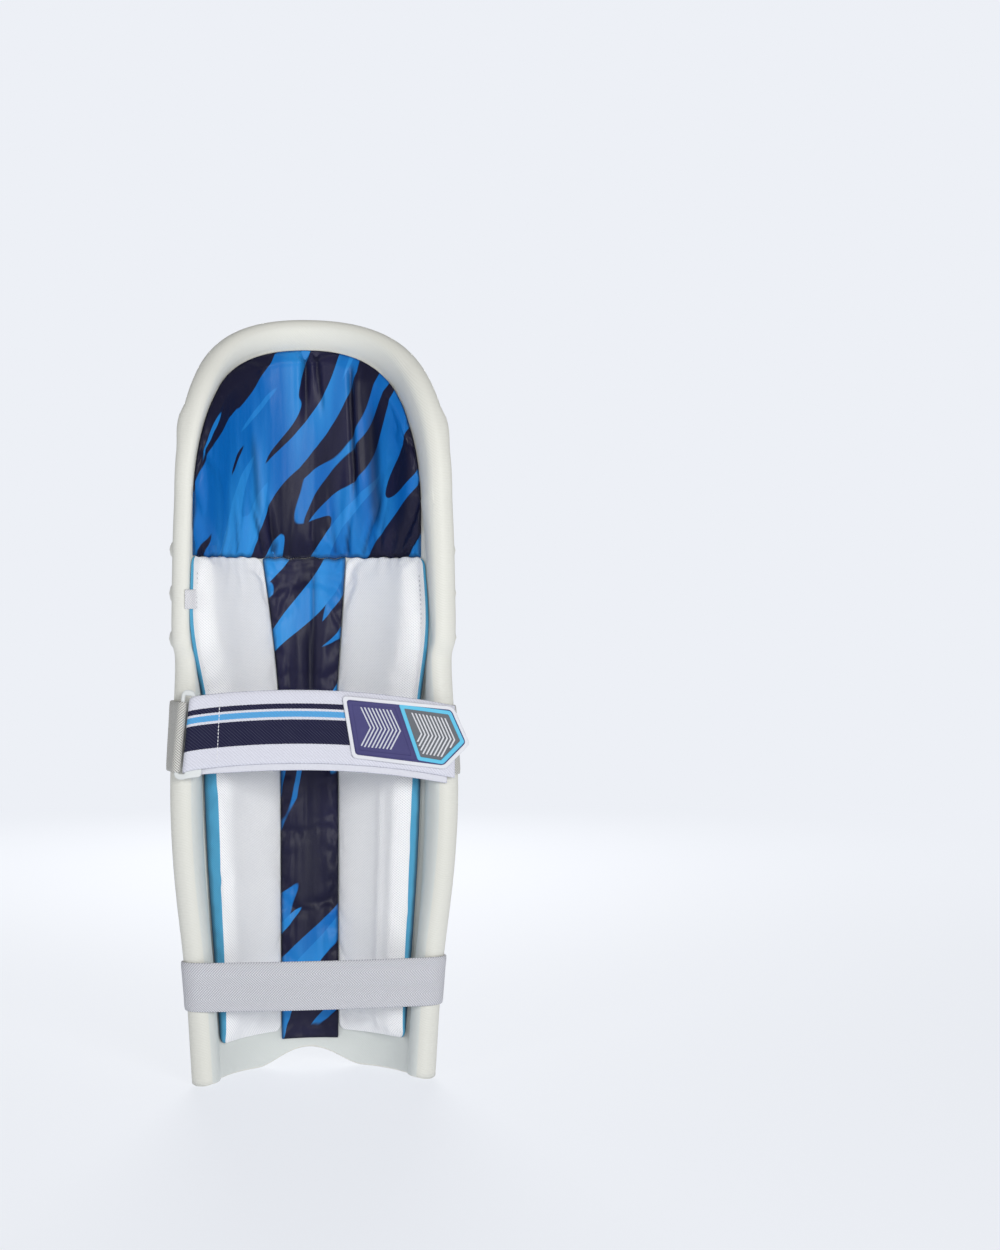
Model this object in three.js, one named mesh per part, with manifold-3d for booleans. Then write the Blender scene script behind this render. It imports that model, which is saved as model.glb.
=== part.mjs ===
// A cricket batting pad for the right leg, standing on its lower edge.
// Millimetres, +Z up. The ribbed front faces +Y and the lined hollow opens to -Y.
// +X is the outer side of the leg.
import * as THREE from 'three';
import Module from 'manifold-3d';

const wasm = await Module();
wasm.setup();

// Driving dimensions. Arc positions run across the pad from the middle of its front.
const SHELL = {
  height: 710, // floor to the top of the crown
  crownStart: 540, // where the rounded crown begins
  crownPower: 2.2, // superellipse power of the crown's outline
  bend: Math.PI / 3, // turn of the front arc, before the flat wings
  wall: 14, // foam from the groove level to the inner face
  lip: 3, // raised edge on the outer face
  lipWidth: 9,
  rimRound: 7,
  kneeHeight: 440, // foremost height, from which the front leans back both ways
  crownLean: 20,
  shinLean: 6,
  arch: 16, // instep arch in the middle of the lower edge
  archHalf: 58,
};
const SECTIONS = [
  { z: 0, radius: 106, wing: 42 },
  { z: 100, radius: 111, wing: 46 },
  { z: 200, radius: 117, wing: 56 },
  { z: 275, radius: 118, wing: 60 },
  { z: 350, radius: 118, wing: 53 },
  { z: 393, radius: 118, wing: 50.5 },
  { z: 408, radius: 118, wing: 56 },
  { z: 450, radius: 118, wing: 56 },
  { z: 500, radius: 118, wing: 54 },
  { z: 550, radius: 118, wing: 50.5 },
  { z: 710, radius: 117, wing: 50 },
];
const BEADS = [
  // The rim's bead along each wing: its width, and its inner side from the groove level
  { z: 0, inner: 24, outer: 26, innerWall: 20, outerWall: 20 },
  { z: 150, inner: 25, outer: 27, innerWall: 20, outerWall: 20 },
  { z: 260, inner: 27.5, outer: 32, innerWall: 20, outerWall: 20 },
  { z: 355, inner: 15, outer: 24.5, innerWall: 20, outerWall: 20 },
  { z: 400, inner: 8, outer: 15.5, innerWall: 15.4, outerWall: 20 },
  { z: 440, inner: 8, outer: 18.5, innerWall: 14.5, outerWall: 20 },
  { z: 520, inner: 8, outer: 25, innerWall: 14.5, outerWall: 20 },
  { z: 560, inner: 9, outer: 29, innerWall: 15, outerWall: 20 },
  { z: 600, inner: 13, outer: 32.5, innerWall: 16.5, outerWall: 20 },
  { z: 642, inner: 19.5, outer: 32, innerWall: 18.5, outerWall: 20 },
  { z: 681, inner: 26.5, outer: 26.5, innerWall: 20, outerWall: 20 },
  { z: 710, inner: 26.5, outer: 26.5, innerWall: 20, outerWall: 20 },
];
const RIBS = {
  crown: [0, 43, 82, 119], // arc positions of the grooves
  shin: [0, 37, 75, 108],
  height: 9,
  power: 2.6,
  border: 8, // flat margin beyond the ribs' ends
};
const ROLLS = {
  height: 13,
  power: 2.4,
  border: 9,
  edges: [
    { middle: 373, rise: 18 },
    { middle: 419, rise: 12 },
    { middle: 464, rise: 10 },
    { middle: 508, rise: 2 },
  ],
};
const LINING = {
  gap: 0.6,
  innerInset: 7.8, // from the inner wing's edge and from the outer wing's
  outerInset: 30,
  start: 520, // where its rounded top begins
  top: 681,
  seam: 485, // joint with the strip and the bolsters
  thick: 7,
  edge: 2,
};
const STRIP = { bottom: 26, thick: 5, edge: 2 };
const BOLSTERS = [
  // Arc positions of the bolsters' edges at the strip and at the wing, and heights of crest and outer side
  { z: 34, innerStrip: 32, innerWing: 127, outerStrip: 33, outerWing: 126, high: 12, side: 8 },
  { z: 150, innerStrip: 32, innerWing: 139, outerStrip: 33, outerWing: 138, high: 18, side: 12 },
  { z: 270, innerStrip: 32, innerWing: 149, outerStrip: 33, outerWing: 146, high: 21, side: 15 },
  { z: 350, innerStrip: 34, innerWing: 151, outerStrip: 32, outerWing: 146, high: 18, side: 6 },
  { z: 420, innerStrip: 42, innerWing: 172, outerStrip: 37, outerWing: 157, high: 14, side: 4 },
  { z: 485, innerStrip: 53, innerWing: 170, outerStrip: 42, outerWing: 151, high: 10, side: 3 },
];
const WEBBING = { thick: 1.8, gap: 1, width: 62, z: 322, start: 111 };
const STRAP = {
  width: 65,
  thick: 2.2,
  layerGap: 0.8,
  z: 331, // middle of the band at its highest place
  highX: -25,
  droop: 0.0007,
  bulge: 8,
  span: 97, // half the length of the bulge's curve
  straightX: 20, // from here the band runs straight to its end
  underX: 119, // where the lower layer starts
  underDrop: 6.5, // the lower layer shows below the upper one
  endX: 126,
};
const RING = {
  barX: -114.2,
  width: 13.2,
  height: 81,
  bar: 3.4,
  endBar: 5.2,
  thick: 2.8,
  tilt: 0.35,
  lean: 0.1, // sideways shift of the bars per height
  drop: 1.8, // below the strap's middle line, as the strap's lower layer hangs lower
};
const PATCH = { startX: 22, base: 2, ridge: 0.8, gap: 0.5, pitch: 3.4, bar: 1.5, middle: 2 };
const PATCH_OUTLINE = [
  { u: 0, w: 29 },
  { u: 9.5, w: -27 },
  { u: 95, w: -27 },
  { u: 118.5, w: 1 },
  { u: 103, w: 32 },
];
const TAG = { z: 446, height: 17, thick: 0.9 };
const ANKLE = { z: 92, width: 44, thick: 2.2, bulge: 5, start: 110 };

const PAINT = {
  foam: { color: 0xeeeee6, roughness: 0.6 },
  satin: { color: 0x2c3c68, roughness: 0.45 },
  mesh: { color: 0xe1e2e8, roughness: 0.8 },
  webbing: { color: 0xc2c2bd, roughness: 0.7 },
  strap: { color: 0xd6d6e2, roughness: 0.65 },
  plastic: { color: 0xe9ebe8, roughness: 0.35 },
  rubber: { color: 0x3c3a78, roughness: 0.5 },
};

// Shared helpers
const { smoothstep, clamp, lerp } = THREE.MathUtils;

// A smooth curve through a table's rows, read at height z.
function valueAt(rows, column, z) {
  const last = rows.length - 1;
  let k = 0;
  while (k < last - 1 && z > rows[k + 1].z) k += 1;
  const slope = (n) => {
    const below = rows[Math.max(n - 1, 0)];
    const above = rows[Math.min(n + 1, last)];
    return (above[column] - below[column]) / (above.z - below.z);
  };
  const span = rows[k + 1].z - rows[k].z;
  const t = clamp((z - rows[k].z) / span, 0, 1);
  const s = t * t * (3 - 2 * t);
  const bend = slope(k) * (1 - t) - slope(k + 1) * t;
  return lerp(rows[k][column], rows[k + 1][column], s) + bend * span * t * (1 - t);
}

// A closed body from two grids of points that face each other, with rails of points round their border.
function closedBody(front, back, rail = () => []) {
  const n = front.length - 1;
  const m = front[0].length - 1;
  const points = [];
  const index = [];
  const add = (p) => points.push(p.x, p.y, p.z) / 3 - 1;
  const quad = (a, b, c, d) => index.push(a, b, c, a, c, d);
  const faces = [front, back].map((grid) => grid.map((line) => line.map(add)));
  for (let i = 0; i < n; i += 1) {
    for (let j = 0; j < m; j += 1) {
      const [f, b] = faces;
      quad(f[i][j], f[i + 1][j], f[i + 1][j + 1], f[i][j + 1]);
      quad(b[i][j], b[i][j + 1], b[i + 1][j + 1], b[i + 1][j]);
    }
  }
  const border = [];
  for (let i = 0; i < n; i += 1) border.push([i, 0]);
  for (let j = 0; j < m; j += 1) border.push([n, j]);
  for (let i = n; i > 0; i -= 1) border.push([i, m]);
  for (let j = m; j > 0; j -= 1) border.push([0, j]);
  const rails = border.map(([i, j]) => [faces[0][i][j], ...rail(i, j).map(add), faces[1][i][j]]);
  rails.forEach((here, k) => {
    const next = rails[(k + 1) % rails.length];
    for (let r = 0; r + 1 < here.length; r += 1) quad(next[r], here[r], here[r + 1], next[r + 1]);
  });
  return facingOut(points, index);
}

// A closed body through rings of points, with both end rings filled.
function loft(rings) {
  const points = [];
  const index = [];
  const add = (p) => points.push(p.x, p.y, p.z) / 3 - 1;
  const ids = rings.map((ring) => ring.map(add));
  const count = rings[0].length;
  for (let k = 0; k + 1 < rings.length; k += 1) {
    for (let p = 0; p < count; p += 1) {
      const q = (p + 1) % count;
      index.push(ids[k][p], ids[k][q], ids[k + 1][q], ids[k][p], ids[k + 1][q], ids[k + 1][p]);
    }
  }
  [0, rings.length - 1].forEach((k) => {
    const middle = rings[k].reduce((sum, p) => sum.add(p), new THREE.Vector3()).divideScalar(count);
    const hub = add(middle);
    for (let p = 0; p < count; p += 1) {
      const pair = [ids[k][p], ids[k][(p + 1) % count]];
      index.push(hub, ...(k ? pair : pair.reverse()));
    }
  });
  return facingOut(points, index);
}

function facingOut(points, index) {
  const at = (n) => new THREE.Vector3().fromArray(points, 3 * n);
  let volume = 0;
  for (let k = 0; k < index.length; k += 3) {
    volume += at(index[k]).dot(at(index[k + 1]).cross(at(index[k + 2])));
  }
  if (volume < 0) index.reverse();
  const geometry = new THREE.BufferGeometry();
  geometry.setAttribute('position', new THREE.Float32BufferAttribute(points, 3));
  return geometry.setIndex(index);
}

// A band of even thickness along a line of points, given at each height across its width.
function band(lineAt, heights, thick) {
  const faces = [-thick / 2, thick / 2].map((offset) => {
    const columns = heights.map((h) => {
      const line = lineAt(h);
      return line.map((p, k) => {
        const ahead = line[Math.min(k + 1, line.length - 1)];
        const behind = line[Math.max(k - 1, 0)];
        const along = new THREE.Vector2(ahead.x - behind.x, ahead.y - behind.y).normalize();
        return new THREE.Vector3(p.x - along.y * offset, p.y + along.x * offset, p.z);
      });
    });
    return columns[0].map((_, k) => columns.map((column) => column[k]));
  });
  return closedBody(...faces);
}

const steps = (from, to, count) => Array.from({ length: count + 1 }, (_, k) => lerp(from, to, k / count));

// The pad's curved frame
const edgeArc = (z) => valueAt(SECTIONS, 'radius', z) * SHELL.bend + valueAt(SECTIONS, 'wing', z);

function frontLine(z) {
  const above = Math.max(z - SHELL.kneeHeight, 0) / (SHELL.height - SHELL.kneeHeight);
  const below = Math.max(SHELL.kneeHeight - z, 0) / SHELL.kneeHeight;
  return -SHELL.crownLean * above ** 2 - SHELL.shinLean * below ** 2;
}

// The point at arc position s and height z, a depth d behind the groove level.
function padPoint(s, z, d) {
  const radius = valueAt(SECTIONS, 'radius', z);
  const turn = Math.min(Math.abs(s) / radius, SHELL.bend);
  const flat = Math.abs(s) - turn * radius;
  const x = (radius - d) * Math.sin(turn) + flat * Math.cos(turn);
  const back = radius - (radius - d) * Math.cos(turn) + flat * Math.sin(turn);
  return new THREE.Vector3(s < 0 ? -x : x, frontLine(z) - back, z);
}

function crownTop(s, span, start, top) {
  const across = Math.min(Math.abs(s) / span, 1) ** SHELL.crownPower;
  return start + (top - start) * (1 - across) ** (1 / SHELL.crownPower);
}

const crownSpan = edgeArc(SHELL.crownStart);

// How far a place lies inside the outline, and which way the outline is from it.
function outlineFrom(s, z) {
  if (z <= SHELL.crownStart) return { gap: edgeArc(z) - Math.abs(s), out: [Math.sign(s), 0] };
  const rise = SHELL.height - SHELL.crownStart;
  const power = SHELL.crownPower;
  const u = Math.abs(s) / crownSpan;
  const v = (z - SHELL.crownStart) / rise;
  const slope = new THREE.Vector2((power * u ** (power - 1)) / crownSpan, (power * v ** (power - 1)) / rise);
  const gap = (1 - u ** power - v ** power) / slope.length();
  slope.normalize();
  return { gap, out: [Math.sign(s) * slope.x, slope.y] };
}

const lowerEdge = (s) => SHELL.arch * Math.max(1 - (s / SHELL.archHalf) ** 2, 0) ** 2;

function rollEdge(k, s) {
  return ROLLS.edges[k].middle + ROLLS.edges[k].rise * (s / crownSpan) ** 2;
}

// Height of a rounded pillow at place f, -1 to 1 across it, whose end lies a distance away.
function pillow(f, half, endAway, power) {
  const near = clamp(endAway / half, 0, 1);
  const wide = Math.sqrt(1 - (1 - near) ** 2);
  if (wide < 1e-6) return 0;
  return Math.max(1 - Math.abs(f / wide) ** power, 0) * Math.sqrt(wide);
}

function ribRelief(s, z, grooves, topOf) {
  const arc = Math.abs(s);
  const edges = [...grooves, edgeArc(Math.min(z, SHELL.crownStart)) - RIBS.border];
  const r = edges.findIndex((edge, k) => arc >= edge && arc < edges[k + 1]);
  if (r < 0) return 0;
  const half = (edges[r + 1] - edges[r]) / 2;
  const f = (arc - edges[r]) / half - 1;
  return RIBS.height * pillow(f, half, topOf(edges[r], edges[r + 1]) - z, RIBS.power);
}

function crownRelief(s, z) {
  const topOf = (from, to) => {
    return crownTop(lerp(from, to, 0.72), crownSpan, SHELL.crownStart, SHELL.height) - RIBS.border;
  };
  return ribRelief(s, z, RIBS.crown, topOf);
}

function shinRelief(s, z) {
  if (Math.abs(s) > RIBS.shin.at(-1)) return 0;
  const fade = smoothstep(z - lowerEdge(s), 8, 34);
  return fade * ribRelief(s, z, RIBS.shin, () => Infinity);
}

function rollRelief(s, z) {
  const k = [0, 1, 2].find((n) => z >= rollEdge(n, s) && z < rollEdge(n + 1, s));
  if (k === undefined) return 0;
  const half = (rollEdge(k + 1, s) - rollEdge(k, s)) / 2;
  const f = (z - rollEdge(k, s)) / half - 1;
  const endAway = edgeArc(z) - ROLLS.border - Math.abs(s);
  return ROLLS.height * pillow(f, half, endAway, ROLLS.power);
}

// Height of the moulded front above the groove level.
function relief(s, z) {
  const { gap } = outlineFrom(s, z);
  const lip = SHELL.lip * smoothstep(-gap, -SHELL.rimRound - SHELL.lipWidth, -SHELL.rimRound);
  const aboveKnee = z > (rollEdge(2, s) + rollEdge(3, s)) / 2;
  const belowKnee = z < (rollEdge(0, s) + rollEdge(1, s)) / 2;
  const ribs = aboveKnee ? crownRelief(s, z) : belowKnee ? shinRelief(s, z) : 0;
  return Math.max(lip, ribs, rollRelief(s, z));
}

function rimWall(side, z) {
  return valueAt(BEADS, side < 0 ? 'innerWall' : 'outerWall', z);
}

// Depth of the inner face, with the bead along the rim.
function innerDepth(s, z) {
  const { gap } = outlineFrom(s, z);
  const bead = valueAt(BEADS, s < 0 ? 'inner' : 'outer', z);
  const near = THREE.MathUtils.clamp((bead - gap) / (bead - SHELL.rimRound), 0, 1);
  return SHELL.wall + (rimWall(s, z) - SHELL.wall) * Math.sin((near * Math.PI) / 2);
}

// Shell
function shellGeometry() {
  const ribStops = [0, 0.12, 0.34, 0.66, 0.88];
  const wingStops = [0, 0.28, 0.5, 0.7, 0.86, 0.947, 1];
  const stopsOf = (rib) => (rib < 3 ? ribStops : wingStops).map((f) => ({ rib, f, side: 1 }));
  const right = [0, 1, 2, 3].flatMap(stopsOf);
  const left = right.slice(1).reverse().map((column) => ({ ...column, side: -1 }));
  const columns = [...left, ...right];
  const stops = [
    [0, 0.03, 0.08, 0.16, 0.32, 0.5, 0.66, 0.8, 0.92, 0.98],
    ...[1, 2, 3].map(() => [0, 0.12, 0.34, 0.66, 0.88]),
    [0, 0.12, 0.32, 0.54, 0.72, 0.84, 0.91, 0.96, 1],
  ];
  const rows = stops.flatMap((list, zone) => list.map((v) => ({ zone, v })));
  const limitsAt = (s) => [
    lowerEdge(s),
    ...ROLLS.edges.map((_, k) => rollEdge(k, s)),
    crownTop(s, crownSpan - SHELL.rimRound, SHELL.crownStart, SHELL.height - SHELL.rimRound),
  ];
  const place = ({ rib, f, side }, { zone, v }) => {
    let [s, z] = [0, 0];
    for (let pass = 0; pass < 4; pass += 1) {
      const limits = limitsAt(s);
      z = lerp(limits[zone], limits[zone + 1], v);
      const height = Math.min(z, SHELL.crownStart);
      const rise = clamp((height - limits[1]) / (limits[4] - limits[1]), 0, 1);
      const grooves = RIBS.shin.map((shin, k) => lerp(shin, RIBS.crown[k], rise));
      grooves.push(edgeArc(height) - SHELL.rimRound);
      s = side * lerp(grooves[rib], grooves[rib + 1], f);
    }
    return { s, z };
  };
  const places = columns.map((column) => rows.map((row) => place(column, row)));
  const front = places.map((line) => line.map(({ s, z }) => padPoint(s, z, -relief(s, z))));
  const back = places.map((line) => line.map(({ s, z }) => padPoint(s, z, innerDepth(s, z))));
  const rail = (i, j) => {
    const { s, z } = places[i][j];
    const outer = -relief(s, z);
    const inner = innerDepth(s, z);
    const { out } = outlineFrom(s, z);
    const reach = j > 0 || i === 0 || i === places.length - 1 ? SHELL.rimRound : 0;
    return [-45, 0, 45].map((degrees) => {
      const turn = THREE.MathUtils.degToRad(degrees);
      const away = reach * Math.cos(turn);
      const depth = lerp(outer, inner, (1 + Math.sin(turn)) / 2);
      return padPoint(s + out[0] * away, z + out[1] * away, depth);
    });
  };
  return closedBody(front, back, rail);
}

// Linings
function kneeLiningGeometry() {
  const spans = [LINING.innerInset, LINING.outerInset].map((inset) => crownSpan - inset);
  const across = [-1, -0.975, -0.92, -0.83, -0.7, -0.52, -0.34, -0.17, 0];
  const columns = [...across, ...across.slice(0, -1).map((f) => -f).reverse()];
  const rows = [0, 0.03, 0.1, 0.25, 0.45, 0.65, 0.82, 0.93, 0.98, 1];
  const places = columns.map((f) => rows.map((v) => {
    const span = spans[f < 0 ? 0 : 1];
    const s = f * span;
    const top = crownTop(s, span, LINING.start, LINING.top);
    const z = lerp(LINING.seam + LINING.gap, top, v);
    const near = Math.min(span - Math.abs(s), z - LINING.seam, top - z);
    return { s, z, near };
  }));
  const under = SHELL.wall + LINING.gap;
  const thickAt = (near) => lerp(LINING.edge, LINING.thick, smoothstep(near, 0, 14));
  const front = places.map((line) => line.map(({ s, z }) => padPoint(s, z, under)));
  const back = places.map((line) => line.map(({ s, z, near }) => padPoint(s, z, under + thickAt(near))));
  return closedBody(front, back);
}

function shinLiningGeometry() {
  const under = SHELL.wall + LINING.gap;
  const rows = [0, 0.02, 0.1, 0.25, 0.4, 0.55, 0.68, 0.78, 0.88, 0.97, 1];
  const face = (thickAt) => steps(-1, 1, 8).map((f) => rows.map((v) => {
    const z = lerp(STRIP.bottom, LINING.seam - LINING.gap, v);
    const half = valueAt(BOLSTERS, f < 0 ? 'innerStrip' : 'outerStrip', z) - LINING.gap;
    return padPoint(f * half, z, under + thickAt(1 - Math.abs(f)));
  }));
  return closedBody(face(() => 0), face((near) => lerp(STRIP.edge, STRIP.thick, smoothstep(near, 0, 0.5))));
}

// Bolsters
function bolsterGeometry(side) {
  const edges = side < 0 ? ['innerStrip', 'innerWing'] : ['outerStrip', 'outerWing'];
  const [low, high] = [BOLSTERS[0].z, LINING.seam - LINING.gap];
  const heights = [low, 36, 42, 60, 110, 170, 230, 290, 350, 400, 440, 465, 478, 483, high];
  const rings = heights.map((z) => {
    const away = Math.min(z - low, high - z);
    const full = Math.sqrt(1 - (1 - clamp((away + 1) / 16, 0, 1)) ** 2);
    const [crest, rim] = ['high', 'side'].map((column) => valueAt(BOLSTERS, column, z) * full);
    const [inner, outer] = edges.map((edge) => valueAt(BOLSTERS, edge, z));
    const at = (f, lift) => {
      const s = side * lerp(inner + LINING.gap, outer, f);
      return padPoint(s, z, SHELL.wall + LINING.gap + lift);
    };
    const lift = (f) => crest * (1 - (1 - f) ** 3) + (rim - crest) * f ** 4;
    const base = [0, 0.33, 0.67, 1].map((f) => at(f, 0));
    const face = [1, 0.9, 0.74, 0.56, 0.38, 0.22, 0.09].map((f) => at(f, lift(f)));
    return [...base, ...face];
  });
  return loft(rings);
}

// Straps and what holds them
// A place round a wing's rim: -90 degrees is on the outer face, 0 on the edge and 90 on the inner face.
function rimPlace(side, z, degrees, gap) {
  const turn = THREE.MathUtils.degToRad(degrees);
  const wall = rimWall(side, z);
  const middle = (wall - SHELL.lip) / 2;
  const half = (wall + SHELL.lip) / 2 + gap;
  const s = edgeArc(z) - SHELL.rimRound + (SHELL.rimRound + gap) * Math.cos(turn);
  return padPoint(side * s, z, middle + half * Math.sin(turn));
}

function wingLine(side, z, from, to, gap) {
  return steps(0, 1, 5).map((f) => {
    const s = lerp(from, to, f);
    return padPoint(side * s, z, -relief(side * s, z) - gap);
  });
}

const rearTurn = 42;
const strapBack = Math.max(...steps(275, 365, 9).map((z) => -rimPlace(1, z, rearTurn, 0).y));
const webCentre = WEBBING.gap + WEBBING.thick / 2;
const webHeights = steps(WEBBING.z - WEBBING.width / 2, WEBBING.z + WEBBING.width / 2, 2);
const underDepth = (x) => {
  const rest = strapBack + WEBBING.gap + WEBBING.thick + 0.5 + STRAP.thick / 2;
  const curved = (Math.min(x, STRAP.straightX) - STRAP.highX) / STRAP.span;
  const straight = Math.max(x - STRAP.straightX, 0) / STRAP.span;
  return rest + STRAP.bulge * (1 - curved ** 2 - 2 * curved * straight);
};
const upperDepth = (x) => underDepth(x) + STRAP.thick + STRAP.layerGap;
const strapZ = (x) => STRAP.z - STRAP.droop * (x - STRAP.highX) ** 2;
const barRound = Math.hypot(RING.bar, RING.thick) / 2 + 0.5;
const barDepth = underDepth(RING.barX) + STRAP.thick / 2 + barRound;
const barZ = strapZ(RING.barX) - RING.drop;
const outerBar = {
  x: RING.barX - (RING.width - RING.bar) * Math.cos(RING.tilt),
  depth: barDepth - (RING.width - RING.bar) * Math.sin(RING.tilt),
};

function outerAnchorGeometry() {
  return band((z) => {
    const wing = wingLine(1, z, WEBBING.start, edgeArc(z) - SHELL.rimRound - 1, webCentre);
    const rim = steps(-80, rearTurn, 6).map((degrees) => rimPlace(1, z, degrees, webCentre));
    const end = rim.at(-1).clone();
    return [...wing, ...rim, new THREE.Vector3(end.x - 14, end.y, z)];
  }, webHeights, WEBBING.thick);
}

function innerAnchorGeometry() {
  const round = barRound + WEBBING.thick / 2;
  return band((z) => {
    const edge = edgeArc(z) - SHELL.rimRound - 1;
    const wing = wingLine(-1, z, WEBBING.start, edge, webCentre);
    const rim = [-80, -62].map((degrees) => rimPlace(-1, z, degrees, webCentre));
    const loop = steps(-30, 180, 9).map((degrees) => {
      const turn = THREE.MathUtils.degToRad(degrees);
      const depth = outerBar.depth + round * Math.sin(turn);
      const x = outerBar.x + RING.lean * (z - barZ) + round * Math.cos(turn);
      return new THREE.Vector3(x, -depth, z);
    });
    const over = webCentre + WEBBING.thick + 0.6;
    const back = [rimPlace(-1, z, -82, over), ...wingLine(-1, z, edge - 1, edge - 16, over)];
    return [...wing, ...rim, ...loop, ...back];
  }, webHeights, WEBBING.thick);
}

function strapLine(across) {
  const round = barRound + STRAP.thick / 2;
  const barX = RING.barX + RING.lean * across;
  const under = steps(STRAP.underX, barX + 2, 14).map((x) => ({ x, depth: underDepth(x) }));
  const fold = steps(-90, 90, 6).map((degrees) => {
    const turn = THREE.MathUtils.degToRad(degrees);
    return { x: barX - round * Math.cos(turn), depth: barDepth + round * Math.sin(turn) };
  });
  const upper = steps(barX + 8, STRAP.endX, 15).map((x) => {
    const settle = smoothstep(x, barX, barX + 40);
    return { x, depth: lerp(barDepth + round, upperDepth(x), settle) };
  });
  const line = [...under, ...fold, ...upper];
  return line.map(({ x, depth }, k) => {
    const drop = STRAP.underDrop * (1 - smoothstep(k, under.length - 5, under.length + fold.length));
    return new THREE.Vector3(x, -depth, strapZ(x) - drop + across);
  });
}

function ringGeometry() {
  const frame = (width, height, round, path) => {
    const [w, h] = [width / 2, height / 2];
    path.moveTo(-w + round, -h).lineTo(w - round, -h).absarc(w - round, -h + round, round, -Math.PI / 2, 0);
    path.lineTo(w, h - round).absarc(w - round, h - round, round, 0, Math.PI / 2);
    path.lineTo(-w + round, h).absarc(-w + round, h - round, round, Math.PI / 2, Math.PI);
    path.lineTo(-w, -h + round).absarc(-w + round, -h + round, round, Math.PI, 1.5 * Math.PI);
    return path;
  };
  const shape = frame(RING.width, RING.height, 5, new THREE.Shape());
  const [gapWide, gapHigh] = [RING.width - 2 * RING.bar, RING.height - 2 * RING.endBar];
  shape.holes.push(frame(gapWide, gapHigh, 2, new THREE.Path()));
  const options = { depth: RING.thick, bevelEnabled: false, curveSegments: 4 };
  const geometry = new THREE.ExtrudeGeometry(shape, options);
  geometry.translate(-(RING.width - RING.bar) / 2, 0, -RING.thick / 2);
  geometry.rotateX(Math.PI / 2).rotateZ(-RING.tilt).rotateY(Math.atan(RING.lean));
  return geometry.translate(RING.barX, -barDepth, barZ);
}

// Moulded patch: a pointed plate with raised chevrons in two fields, laid along the strap.
function patchGeometry() {
  const solid = (corners, from, to) => {
    const shape = new THREE.Shape(corners.map(({ u, w }) => new THREE.Vector2(u, w)));
    const geometry = new THREE.ExtrudeGeometry(shape, { depth: to - from, bevelEnabled: false });
    geometry.translate(0, 0, from);
    return manifoldOf(geometry);
  };
  const chevron = (u, reach) => {
    const back = u - 0.5 * reach;
    const { middle } = PATCH;
    const tips = [{ u: back, w: middle - reach }, { u, w: middle }, { u: back, w: middle + reach }];
    return [...tips, ...tips.map((p) => ({ u: p.u - PATCH.bar, w: p.w })).reverse()];
  };
  const tips = [...steps(27, 27 + 8 * PATCH.pitch, 8), ...steps(74, 74 + 9 * PATCH.pitch, 9)];
  const ridges = tips.map((u) => chevron(u, Math.min(16, 0.8 * (110 - u) + 1)));
  const top = PATCH.base + PATCH.ridge;
  const whole = ridges.reduce(
    (sum, corners) => sum.add(solid(corners, PATCH.base - 0.5, top)),
    solid(PATCH_OUTLINE, 0, PATCH.base),
  );
  const mesh = whole.getMesh();
  const points = [];
  for (let k = 0; k < mesh.vertProperties.length; k += 3) {
    const [u, w, h] = mesh.vertProperties.slice(k, k + 3);
    const x = PATCH.startX + u;
    const depth = upperDepth(x) + STRAP.thick / 2 + PATCH.gap + h;
    points.push(x, -depth, strapZ(x) + w);
  }
  return facingOut(points, Array.from(mesh.triVerts));
}

function manifoldOf(geometry) {
  const found = new Map();
  const vertProperties = [];
  const position = geometry.getAttribute('position');
  const triVerts = Array.from({ length: position.count }, (_, k) => {
    const p = [position.getX(k), position.getY(k), position.getZ(k)];
    const key = p.map((value) => value.toFixed(4)).join();
    if (!found.has(key)) found.set(key, vertProperties.push(...p) / 3 - 1);
    return found.get(key);
  });
  const mesh = new wasm.Mesh({
    numProp: 3,
    vertProperties: new Float32Array(vertProperties),
    triVerts: new Uint32Array(triVerts),
  });
  return new wasm.Manifold(mesh);
}

function tagGeometry() {
  return band((z) => {
    const outer = valueAt(BOLSTERS, 'innerWing', TAG.z);
    const foot = padPoint(-outer - 1.2, z, SHELL.wall + 8);
    const turns = [75, 50, 25].map((degrees) => rimPlace(-1, z, degrees, 1));
    return [foot, ...turns];
  }, steps(TAG.z - TAG.height / 2, TAG.z + TAG.height / 2, 1), TAG.thick);
}

function ankleStrapGeometry() {
  const centre = WEBBING.gap + ANKLE.thick / 2;
  return band((z) => {
    const half = (side) => [
      ...wingLine(side, z, ANKLE.start, edgeArc(z) - SHELL.rimRound - 1, centre),
      ...steps(-80, rearTurn, 6).map((degrees) => rimPlace(side, z, degrees, centre)),
    ];
    const left = half(-1);
    const right = half(1).reverse();
    const [from, to] = [left.at(-1), right[0]];
    const across = steps(0, 1, 10).slice(1, -1).map((f) => {
      const bow = ANKLE.bulge * (1 - (2 * f - 1) ** 2);
      return new THREE.Vector3(lerp(from.x, to.x, f), lerp(from.y, to.y, f) - bow, z);
    });
    return [...left, ...across, ...right];
  }, steps(ANKLE.z - ANKLE.width / 2, ANKLE.z + ANKLE.width / 2, 2), ANKLE.thick);
}

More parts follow.
